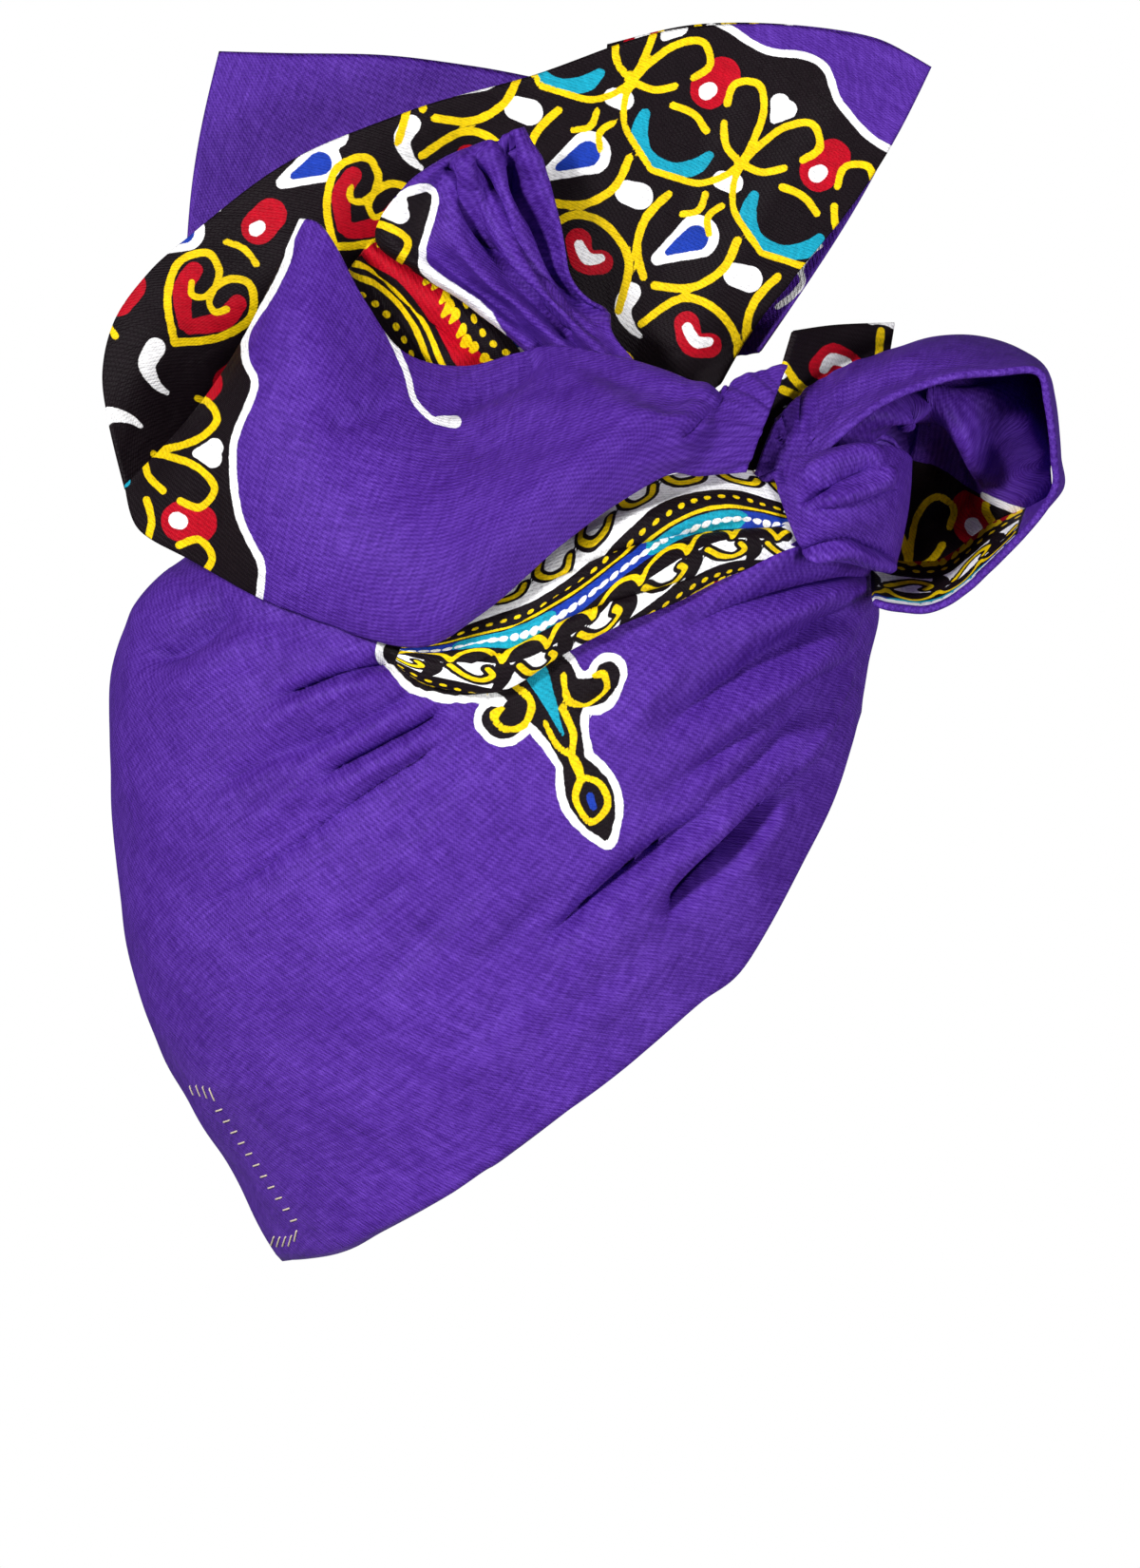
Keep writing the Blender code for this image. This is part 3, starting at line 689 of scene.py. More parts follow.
# Wax-print cloth is a plain-woven cotton of fine, uneven yarn, dyed in the piece and pressed flat.
# It gives the eye a deep matt colour, a faint pattern of threads and streaks of thicker yarn.
@dataclass(frozen=True)
class WovenCotton:
    """Plain-woven cotton, dyed in the piece: matt, with fine threads, slubs and rumples.

    Attributes:
        name: the material's name.
        dye: colour of the dyed cloth.
        fibre_and_highlight: paler colour painted on the crests of its threads, partly the fibre's own and
            partly a painted highlight.
        thread_pitch: spacing of the threads. Real ones are 0.4 mm apart, too fine for
            the render, so they are drawn about twice as coarse.
        twill_pitch: spacing of the slanting ribs that the threads make together.
        twill_slope: how steeply those ribs slant.
        twill_height: how high they stand, against the threads.
        slub_length: how far a thicker stretch of yarn runs.
        slub_rate: how often the yarn's thickness changes from thread to thread, in 1 mm.
        slub_height: how high thick yarn stands, against the threads.
        grain_rate: how often the fine grain of the dye changes, in 1 mm.
        patch_rate: how often its wide patches do, in 1 mm.
        rumple_rate: how often the soft rumples from handling do, in 1 mm.
        rumple: height of those rumples.
        relief: height of the weave.
        roughness: how matt the cloth is.
        gloss: strength of its weak shine.
    """

    name: str
    dye: str = "48218a"
    fibre_and_highlight: str = "8e69d2"
    thread_pitch: float = 0.85
    twill_pitch: float = 1.25
    twill_slope: float = 0.4
    twill_height: float = 0.9
    slub_length: float = 9.0
    slub_rate: float = 1.1
    slub_height: float = 1.2
    grain_rate: float = 1.3
    patch_rate: float = 0.045
    rumple_rate: float = 0.075
    rumple: float = 2.2
    relief: float = 0.08
    roughness: float = 0.5
    gloss: float = 0.1

    def colour(self, tree: Tree, tone: Socket) -> Socket:
        """Paint the crests of the threads paler than their dye, partly the fibre and partly a painted
        highlight.

        Args:
            tree: the material's node tree.
            tone: how pale or dark the yarn is at each point, about 1.

        Returns:
            The colour of the dyed cloth.
        """
        # Where the tone is high the colour is painted towards the paler fibre: partly real, partly a painted
        # highlight.
        spread = {"From Min": 0.85, "From Max": 1.45, "To Min": 0.0, "To Max": 0.2}
        crest = add_node(tree, "ShaderNodeMapRange", {"Value": tone, **spread})
        colours = {0: crest.outputs[0], 6: linear(self.dye), 7: linear(self.fibre_and_highlight)}
        return add_node(tree, "ShaderNodeMix", colours, data_type="RGBA").outputs[2]

    def slubs(self, tree: Tree, thread: Socket) -> Socket:
        """Thicker and thinner stretches of yarn, both ways of the weave.

        Args:
            tree: the material's node tree.
            thread: place along the threads.

        Returns:
            How thick the yarn is, about 1.
        """
        runs = []
        along = 1 / self.slub_length
        for rates in ((along, self.slub_rate, 1.0), (self.slub_rate, along, 1.0)):
            place = add_node(tree, "ShaderNodeVectorMath", {0: thread, 1: rates}, operation="MULTIPLY")
            look = {"Vector": place.outputs[0], "Scale": 1.0, "Detail": 2.0}
            runs.append(add_node(tree, "ShaderNodeTexNoise", look).outputs[0])
        return add_node(tree, "ShaderNodeMath", {0: runs[0], 1: runs[1]}, operation="ADD").outputs[0]

    def threads(self, tree: Tree, thread: Socket) -> Socket:
        """Crests and hollows of the threads, with the slanting ribs that they make.

        Args:
            tree: the material's node tree.
            thread: place along the threads.

        Returns:
            How far the threads stand out.
        """
        parts = add_node(tree, "ShaderNodeSeparateXYZ", {0: thread}).outputs
        waves = []
        for axis in ("X", "Y"):
            rate = {0: parts[axis], 1: 2 * math.pi / self.thread_pitch}
            phase = add_node(tree, "ShaderNodeMath", rate, operation="MULTIPLY").outputs[0]
            waves.append(add_node(tree, "ShaderNodeMath", {0: phase}, operation="SINE").outputs[0])
        weave = add_node(tree, "ShaderNodeMath", {0: waves[0], 1: waves[1]}, operation="MULTIPLY").outputs[0]
        lean = {0: parts["X"], 1: self.twill_slope, 2: parts["Y"]}
        slope = add_node(tree, "ShaderNodeMath", lean, operation="MULTIPLY_ADD").outputs[0]
        rate = {0: slope, 1: 2 * math.pi / self.twill_pitch}
        phase = add_node(tree, "ShaderNodeMath", rate, operation="MULTIPLY").outputs[0]
        slant = add_node(tree, "ShaderNodeMath", {0: phase}, operation="SINE").outputs[0]
        ribs = {0: slant, 1: self.twill_height, 2: weave}
        return add_node(tree, "ShaderNodeMath", ribs, operation="MULTIPLY_ADD").outputs[0]

    def tone(self, tree: Tree, thread: Socket, slubs: Socket, threads: Socket) -> Socket:
        """How pale or dark yarn, grain and patches make the cloth, with a painted highlight on the thread
        crests.

        Args:
            tree: the material's node tree.
            thread: place along the threads.
            slubs: how thick the yarn is.
            threads: how far the threads stand out.

        Returns:
            A factor for the colour, about 1.
        """
        spread = {"From Min": 0.65, "From Max": 1.35, "To Min": 0.8, "To Max": 1.2}
        shade = add_node(tree, "ShaderNodeMapRange", {"Value": slubs, **spread}).outputs[0]
        # The crests of the threads are painted lighter here: a painted highlight where light would catch
        # them.
        shares = {0: threads, 1: 0.1, 2: shade}
        lifted = add_node(tree, "ShaderNodeMath", shares, operation="MULTIPLY_ADD").outputs[0]
        looks = ((self.grain_rate, 2.0, -0.1, 0.1, "ADD"), (self.patch_rate, 3.0, 0.94, 1.06, "MULTIPLY"))
        for rate, detail, least, most, joined in looks:
            noise = add_node(tree, "ShaderNodeTexNoise", {"Vector": thread, "Scale": rate, "Detail": detail})
            spread = {"From Min": 0.3, "From Max": 0.7, "To Min": least, "To Max": most}
            change = add_node(tree, "ShaderNodeMapRange", {"Value": noise.outputs[0], **spread}).outputs[0]
            lifted = add_node(tree, "ShaderNodeMath", {0: lifted, 1: change}, operation=joined).outputs[0]
        return lifted

    def make(self) -> bpy.types.Material:
        """Make the material with its weave, slubs and colour.

        Returns:
            The finished material.
        """
        material = bpy.data.materials.new(self.name)
        material.use_nodes = True
        tree = material.node_tree
        tree.nodes.clear()
        thread = add_node(tree, "ShaderNodeAttribute", attribute_name="thread").outputs["Vector"]
        slubs, threads = self.slubs(tree, thread), self.threads(tree, thread)
        sizes = {0: slubs, 1: self.slub_height, 2: threads}
        height = add_node(tree, "ShaderNodeMath", sizes, operation="MULTIPLY_ADD").outputs[0]
        soft = {"Vector": thread, "Scale": self.rumple_rate, "Detail": 4.5, "Distortion": 0.8}
        rumple = add_node(tree, "ShaderNodeTexNoise", soft).outputs[0]
        broad = {"Strength": 0.5, "Distance": self.rumple * MM, "Height": rumple}
        rumpled = add_node(tree, "ShaderNodeBump", broad).outputs[0]
        fine = {"Strength": 0.55, "Distance": self.relief * MM, "Height": height, "Normal": rumpled}
        bump = add_node(tree, "ShaderNodeBump", fine).outputs[0]
        tone = self.tone(tree, thread, slubs, threads)
        toned = {0: self.colour(tree, tone), "Scale": tone}
        colour = add_node(tree, "ShaderNodeVectorMath", toned, operation="SCALE").outputs[0]
        spread = {"To Min": self.roughness - 0.06, "To Max": self.roughness + 0.06}
        rough = add_node(tree, "ShaderNodeMapRange", {"Value": slubs, **spread}).outputs[0]
        face = {"Base Color": colour, "Roughness": rough, "Normal": bump, "IOR": 1.5}
        shader = add_node(tree, "ShaderNodeBsdfPrincipled", {**face, "Specular IOR Level": self.gloss})
        add_node(tree, "ShaderNodeOutputMaterial", {"Surface": shader.outputs[0]})
        return material


@dataclass(frozen=True)
class DyedCotton(WovenCotton):
    """Cotton in the plain dye of the strip's middle."""

    name: str = "plain_woven_cotton_dyed"


# The print is opaque ink in near-black, white, red, blue, teal and yellow on the same cloth. It
# gives the eye hard-edged flat colour, with edges that wander a little, and the weave shows in it.
@dataclass(frozen=True)
class WaxPrintedCotton(WovenCotton):
    """The same cotton, wax-printed: opaque inks with slightly uneven edges.

    Attributes:
        ground: the near-black of the print's ground and outlines.
        white: undyed cloth that the wax kept bare.
        red: red ink.
        blue: blue ink.
        teal: teal ink.
        yellow: yellow ink.
        edge: how far an ink's edge bleeds.
        wander: how far an edge wanders, as drawn by hand.
        wander_rate: how often it does, in 1 mm.
    """

    name: str = "wax_printed_cotton"
    ground: str = "140c11"
    white: str = "fbfafb"
    red: str = "b4081f"
    blue: str = "1b3aa4"
    teal: str = "179bb6"
    yellow: str = "f0cb0a"
    edge: float = 0.10
    wander: float = 0.14
    wander_rate: float = 0.3

    def colour(self, tree: Tree, tone: Socket) -> Socket:
        """Lay the inks over the dye, each where its distance is below nought.

        Args:
            tree: the material's node tree.
            tone: how pale or dark the yarn is at each point, about 1.

        Returns:
            The colour of the printed cloth.
        """
        thread = add_node(tree, "ShaderNodeAttribute", attribute_name="thread").outputs["Vector"]
        rough = {"Vector": thread, "Scale": self.wander_rate, "Detail": 2.0}
        wobble = add_node(tree, "ShaderNodeTexNoise", rough).outputs[0]
        spread = {"From Min": 0.25, "From Max": 0.75, "To Min": -self.wander, "To Max": self.wander}
        offset = add_node(tree, "ShaderNodeMapRange", {"Value": wobble, **spread}).outputs[0]
        distances = []
        for name in INK_GROUPS:
            vector = add_node(tree, "ShaderNodeAttribute", attribute_name=name).outputs["Vector"]
            distances += list(add_node(tree, "ShaderNodeSeparateXYZ", {0: vector}).outputs)
        hues = {
            Ink.GROUND: self.ground,
            Ink.WHITE: self.white,
            Ink.LINE: self.ground,
            Ink.RED: self.red,
            Ink.BLUE: self.blue,
            Ink.TEAL: self.teal,
            Ink.YELLOW: self.yellow,
            Ink.PEARL: self.white,
        }
        result = super().colour(tree, tone)
        for ink in Ink:
            moved = add_node(tree, "ShaderNodeMath", {0: distances[ink.value], 1: offset}, operation="ADD")
            bleed = {"Value": moved.outputs[0], "From Min": self.edge, "From Max": -self.edge}
            cover = add_node(tree, "ShaderNodeMapRange", bleed).outputs[0]
            colours = {0: cover, 6: result, 7: linear(hues[ink])}
            result = add_node(tree, "ShaderNodeMix", colours, data_type="RGBA").outputs[2]
        return result


# Sewing thread is spun and twisted cotton, here undyed. It gives the eye pale, dull stitches.
@dataclass(frozen=True)
class SewingThread:
    """Undyed cotton sewing thread: twisted, matt and pale.

    Attributes:
        name: the material's name.
        tint: colour of the undyed cotton.
        roughness: how matt it is.
        gloss: strength of its weak shine.
        twist_rate: how often its fibres turn pale and dark, in 1 m.
    """

    name: str = "cotton_sewing_thread"
    tint: str = "d9cbb0"
    roughness: float = 0.8
    gloss: float = 0.3
    twist_rate: float = 2500.0

    def make(self) -> bpy.types.Material:
        """Make the material with the uneven tone of its twist.

        Returns:
            The finished material.
        """
        material = bpy.data.materials.new(self.name)
        material.use_nodes = True
        tree = material.node_tree
        tree.nodes.clear()
        where = add_node(tree, "ShaderNodeTexCoord").outputs["Object"]
        fibres = {"Vector": where, "Scale": self.twist_rate, "Detail": 1.0}
        twist = add_node(tree, "ShaderNodeTexNoise", fibres).outputs[0]
        spread = {"Value": twist, "To Min": 0.75, "To Max": 1.15}
        shade = add_node(tree, "ShaderNodeMapRange", spread).outputs[0]
        toned = {0: linear(self.tint)[:3], "Scale": shade}
        colour = add_node(tree, "ShaderNodeVectorMath", toned, operation="SCALE").outputs[0]
        face = {"Base Color": colour, "Roughness": self.roughness, "Specular IOR Level": self.gloss}
        shader = add_node(tree, "ShaderNodeBsdfPrincipled", face)
        add_node(tree, "ShaderNodeOutputMaterial", {"Surface": shader.outputs[0]})
        return material


def sheet_mesh(name: str, surface: "Surface", inks: Optional[Array]) -> bpy.types.Object:
    """Turn a surface into a closed sheet of cloth with thickness and rounded edges.

    Args:
        name: the object's name.
        surface: the sheet's middle surface.
        inks: ink distances at its points, or None where nothing is printed.

    Returns:
        The new object, linked to the scene.
    """
    rows, columns = surface.points.shape[:2]
    front = np.arange(rows * columns).reshape(rows, columns)
    back = front + rows * columns
    if surface.pole:
        front[0, :], back[0, :] = front[0, 0], back[0, 0]
    else:
        back[0, :] = front[0, :]
    back[-1, :] = front[-1, :]
    if not surface.wrap:
        back[:, 0], back[:, -1] = front[:, 0], front[:, -1]
    lift = surface.normals * surface.half_thickness[..., None]
    points = np.concatenate([surface.points + lift, surface.points - lift]).reshape(-1, 3)
    if surface.wrap:
        front, back = (np.concatenate([ids, ids[:, :1]], 1) for ids in (front, back))
    quads = []
    for ids, turned in ((front, False), (back, True)):
        a, b, c, d = ids[:-1, :-1], ids[1:, :-1], ids[1:, 1:], ids[:-1, 1:]
        order = (a, b, c, d) if surface.outward != turned else (a, d, c, b)
        quads.append(np.stack(order, -1).reshape(-1, 4))
    quads = np.concatenate(quads)
    used, quads = np.unique(quads, return_inverse=True)
    quads = quads.reshape(-1, 4)
    faces = [tuple(dict.fromkeys(quad)) for quad in quads.tolist()]
    mesh = bpy.data.meshes.new(name)
    mesh.from_pydata((points[used] * MM).tolist(), [], faces)
    mesh.shade_smooth()
    thread = np.zeros((rows, columns, 3))
    thread[..., :2] = surface.thread
    store(mesh, "thread", np.concatenate([thread, thread]).reshape(-1, 3)[used])
    if inks is not None:
        padded = np.concatenate([inks, blank_inks(inks.shape[:2])[..., :1]], -1)
        twice = np.concatenate([padded, padded]).reshape(-1, INKS + 1)[used]
        for i, group in enumerate(INK_GROUPS):
            store(mesh, group, twice[:, 3 * i : 3 * i + 3])
    obj = bpy.data.objects.new(name, mesh)
    bpy.context.scene.collection.objects.link(obj)
    return obj


def store(mesh: bpy.types.Mesh, name: str, values: Array) -> None:
    """Keep three numbers at each vertex of a mesh."""
    attribute = mesh.attributes.new(name, "FLOAT_VECTOR", "POINT")
    attribute.data.foreach_set("vector", np.ascontiguousarray(values, np.float32).ravel())


def grid_lengths(points: Array) -> tuple[Array, Array]:
    """Measure how far a grid's points lie along and across it, on the grid itself.

    Args:
        points: the grid, along by across by three.

    Returns:
        The lengths from the first row, and the widths from the middle column.
    """
    steps = np.linalg.norm(np.diff(points, axis=0), axis=-1)
    length = np.concatenate([np.zeros((1, steps.shape[1])), np.cumsum(steps, 0)])
    steps = np.linalg.norm(np.diff(points, axis=1), axis=-1)
    width = np.concatenate([np.zeros((steps.shape[0], 1)), np.cumsum(steps, 1)], 1)
    return length, width - width[:, -1:] / 2


@dataclass
class Surface:
    """The middle surface of a sheet of cloth as a grid of points.

    Attributes:
        points: the grid, along by across by three.
        thickness: thickness of the cloth.
        weave_turn: how far the threads are turned from the grid, in degrees.
        wrap: whether the last column meets the first.
        pole: whether the first row is a single point.
        laid: the grid before its folds, which the threads are measured on.
        normals: unit normal at each point.
        outward: whether the grid's own turn faces outwards.
        thread: place of each point along both directions of the threads.
        half_thickness: half the thickness at each point.
    """

    points: Array
    thickness: float
    weave_turn: float = 0.0
    wrap: bool = False
    pole: bool = False
    laid: Optional[Array] = None
    normals: Array = field(init=False)
    outward: bool = field(init=False)
    thread: Array = field(init=False)
    half_thickness: Array = field(init=False)

    def __post_init__(self) -> None:
        """Work out the normals, the threads' places and the rounded edges."""
        self.normals = self.find_normals()
        length, width = grid_lengths(self.points if self.laid is None else self.laid)
        turn = math.radians(self.weave_turn)
        cosine, sine = math.cos(turn), math.sin(turn)
        self.thread = np.stack([length * cosine - width * sine, length * sine + width * cosine], -1)
        self.half_thickness = self.find_half_thickness()

    def find_normals(self) -> Array:
        """Unit normals of the grid, turned to the near side on the whole.

        Returns:
            A normal at each point.
        """
        if self.wrap:
            around = np.concatenate([self.points[:, -1:], self.points, self.points[:, :1]], 1)
            across = np.gradient(around, axis=1)[:, 1:-1]
        else:
            across = np.gradient(self.points, axis=1)
        along = np.gradient(self.points, axis=0)
        if self.pole:
            across[0] = across[1]
            along[0] = self.points[1] - self.points[0]
        normals = np.cross(along, across)
        normals /= np.maximum(np.linalg.norm(normals, axis=-1, keepdims=True), 1e-9)
        if self.pole:
            normals[0] = (0.0, 0.0, 1.0) if normals[1].mean(0)[2] > 0 else (0.0, 0.0, -1.0)
        if self.wrap:
            outwards = (normals * (self.points - self.points.mean((0, 1)))).sum(-1).mean() > 0
        else:
            outwards = normals[..., 1].mean() < 0
        self.outward = bool(outwards)
        return normals if outwards else -normals

    def side_view(self) -> tuple[Array, Array]:
        """Forward places and heights of the points."""
        return self.points[..., 0], self.points[..., 2]

    def arc_lengths(self) -> tuple[Array, Array]:
        """Distances along and across the cloth, both measured on it."""
        return grid_lengths(self.points)

    def find_half_thickness(self) -> Array:
        """Half the thickness at each point, thinning in a quarter circle to the edges.

        Returns:
            Half the thickness, nought on an edge.
        """
        length, width = self.arc_lengths()
        nearest = length[-1:] - length
        if not self.pole:
            nearest = np.minimum(nearest, length)
        if not self.wrap:
            nearest = np.minimum(nearest, np.minimum(width - width[:, :1], width[:, -1:] - width))
        share = np.clip(nearest / (self.thickness * EDGE_ROUNDING), 0, 1)
        return self.thickness / 2 * np.sqrt(1 - (1 - share) ** 2)


# Levels of the cap from the crown down.
CAP_LEVELS = (
    Level(3, 8, 8, 0),
    Level(1.5, -22, 36, 22),
    Level(-3.5, -44, 63, 42),
    Level(-12, -65, 86, 58),
    Level(-22.5, -81, 100, 69),
    Level(-35, -93.5, 102.5, 75.5),
    Level(-50, -99.3, 99.3, 79),
    Level(-70, -99.6, 97.5, 80),
    Level(-92, -98.7, 95, 80),
    Level(-115, -97, 92, 79),
    Level(-135, -92.5, 88, 76),
    Level(-151, -86.5, 83, 73),
    Level(-165, -79, 77, 69.5),
    Level(-181, -68.7, 70, 64),
    Level(-194, -62, 62, 59),
    Level(-208, -54.2, 54, 54),
)
CAP_SQUARENESS = 2.3

# Height of the cap's lower edge round the head, from the forehead to the nape.
CAP_RIM = (
    (0, -60),
    (15, -75),
    (26, -95),
    (37, -114.5),
    (45, -131.5),
    (53, -139),
    (60, -147),
    (73.5, -163.5),
    (86, -177),
    (97.5, -189),
    (115, -198.5),
    (136, -205),
    (180, -207.8),
)

# The broad folds of the cap, which its solid has too.
CAP_BROAD_FOLDS = (
    Fold(((101, -34), (40, -96)), 2.6, 6.5),
    Fold(((97, -50), (44, -122)), -3.6, 6),
    Fold(((96, -72), (62, -124)), 1.6, 7),
    Fold(((60, -76), (-4, -138)), -1.8, 6),
    Fold(((50, -104), (-20, -166)), 1.8, 7),
    Fold(((-4, -63), (-82, -117)), -1.4, 5),
    Fold(((-40, -36), (-98, -46)), -2.6, 5.5),
    Fold(((-28, -62), (-78, -79)), -1.4, 5.5),
)

# The finer creases that only the cloth shows.
CAP_CREASES = (
    Fold(((104, -24.5), (97.5, -22), (90, -20.5), (82, -21), (72, -25), (60, -30)), 3.4, 2.4, 0.1, 0.5),
    Fold(
        ((103, -27), (96, -26.5), (86, -28), (74, -31), (61.5, -35.5), (49, -42)),
        -3.4, 2.2, 0.1, 0.6, Crease.SHARP,
    ),
    Fold(((101, -30), (88, -33), (70, -40), (52, -50)), 2, 3.2, 0.1, 0.6),
    Fold(((100, -34), (85, -41.5), (68, -52), (50, -64), (38, -76)), -3, 3.2, 0.15, 0.5),
    Fold(((98, -40), (84, -50), (68, -61), (52, -73)), 1.8, 3.4, 0.2, 0.5),
    Fold(((94, -47), (80, -58.5), (66, -69), (50.5, -80.5), (36, -90)), -3, 3, 0.2, 0.5),
    Fold(((90, -55), (78.5, -66), (66, -77.5), (52, -88.5)), -2, 2.2, 0.3, 0.4),
    Fold(((92, -58), (80, -73), (66.5, -87), (52, -99.5), (35, -114)), 3, 3.4, 0.3, 0.4),
    Fold(((84, -73), (74, -84.5), (66, -94.5), (57, -103), (50.5, -109.5), (45, -117)), -4, 2.3, 0.5, 0.15),
    Fold(((79, -84), (71, -96), (62, -106)), 1.8, 2.6, 0.3, 0.3),
    Fold(((64, -86), (53, -91.5), (42, -99), (31.5, -107.5), (21, -117), (8, -129)), -3.6, 2.6, 0.3, 0.35),
    Fold(((50, -88), (36, -96), (22, -107), (8, -119)), 1.8, 4, 0.3, 0.4),
    Fold(((34, -98), (18, -110), (2, -124), (-12, -137)), -1.6, 3.6, 0.3, 0.4),
    Fold(
        ((98, -46.5), (92.5, -57), (87, -67), (78, -78), (69.5, -86.5), (61.5, -94.5)),
        1.6, 4, 0.2, 0.5, Crease.STEP,
    ),
    Fold(((40, -54), (30, -58), (21, -64)), -1.4, 2.4, 0.3, 0.4),
    Fold(((52, -48), (40, -61), (33, -72)), 1.2, 3.4, 0.3, 0.4),
    Fold(((-64.5, -31), (-74.5, -38), (-84, -46), (-95.5, -50)), -3.6, 3.8, 0.2, 0.3),
    Fold(((-79, -25), (-87, -31), (-96.5, -41)), 1.8, 3.6, 0.2, 0.3),
    Fold(((-52, -37), (-64, -45), (-78, -55), (-92, -64)), 1.6, 4.6, 0.3, 0.4),
    Fold(((-22, -49), (-36, -51.5), (-47.5, -56), (-60, -61)), -2.8, 2, 0.15, 0.4),
    Fold(((-22, -53.5), (-38.5, -57.5), (-52, -63), (-66, -70)), 1.8, 2.6, 0.2, 0.4),
    Fold(((-14, -56), (-28, -62), (-44, -70), (-60, -79)), -1.8, 2.4, 0.2, 0.4),
    Fold(((-8.5, -60), (-16, -65), (-26.5, -70.5), (-38.5, -76.5), (-50.5, -84)), -3, 2, 0.2, 0.4),
    Fold(((-6, -64.5), (-18, -71), (-32, -78.5), (-48, -88)), 1.6, 2.4, 0.2, 0.4),
    Fold(
        ((-10, -69), (-31, -82.5), (-46, -93.5), (-61, -104.5), (-80, -118)),
        -1.3, 2.6, 0.15, 0.3, Crease.STEP,
    ),
    Fold(((-38.5, -66), (-49, -70), (-59.5, -75.5), (-76, -84.5)), -1.5, 2.6),
    Fold(((-42.5, -78), (-53.5, -85.5), (-64, -96)), 1.4, 3.2),
    Fold(((-4, -76), (-16, -88), (-30, -100)), -1, 3),
    Fold(((-17.5, -103), (-27.5, -111.5), (-38.5, -121.5)), -1.1, 2.6),
    Fold(((2, -104), (-14, -118), (-34, -138)), -1.1, 3.4),
    Fold(((24, -122), (6, -138), (-14, -155)), -1, 4),
    Fold(((56, -118), (34, -136), (10, -155)), 1, 4.4)
)


def cap_profile(z: Array) -> Array:
    """Back, front and half width of the cap at heights, from its table of levels.

    Args:
        z: heights.

    Returns:
        Three columns, one row for each height.
    """
    dense = smooth_line(CAP_LEVELS, 40)[::-1]
    return np.stack([np.interp(z, dense[:, 0], dense[:, i]) for i in (1, 2, 3)], -1)


def cap_reach(x: Array, z: Array) -> Array:
    """How far the cap reaches to the near side at side view places.

    Args:
        x: forward places.
        z: heights.

    Returns:
        The reach at each place, or 0 beside the cap.
    """
    back, front, half_width = np.moveaxis(cap_profile(z), -1, 0)
    share = np.abs(x - (front + back) / 2) / np.maximum((front - back) / 2, 1e-6)
    inside = (share < 1) & (z < CAP_LEVELS[0].z) & (z > CAP_LEVELS[-1].z)
    round_part = np.maximum(1 - np.minimum(share, 1) ** CAP_SQUARENESS, 0) ** (1 / CAP_SQUARENESS)
    relief = np.maximum(fold_relief(x, z, CAP_BROAD_FOLDS), 0)
    return np.where(inside, half_width * round_part + relief, 0.0)


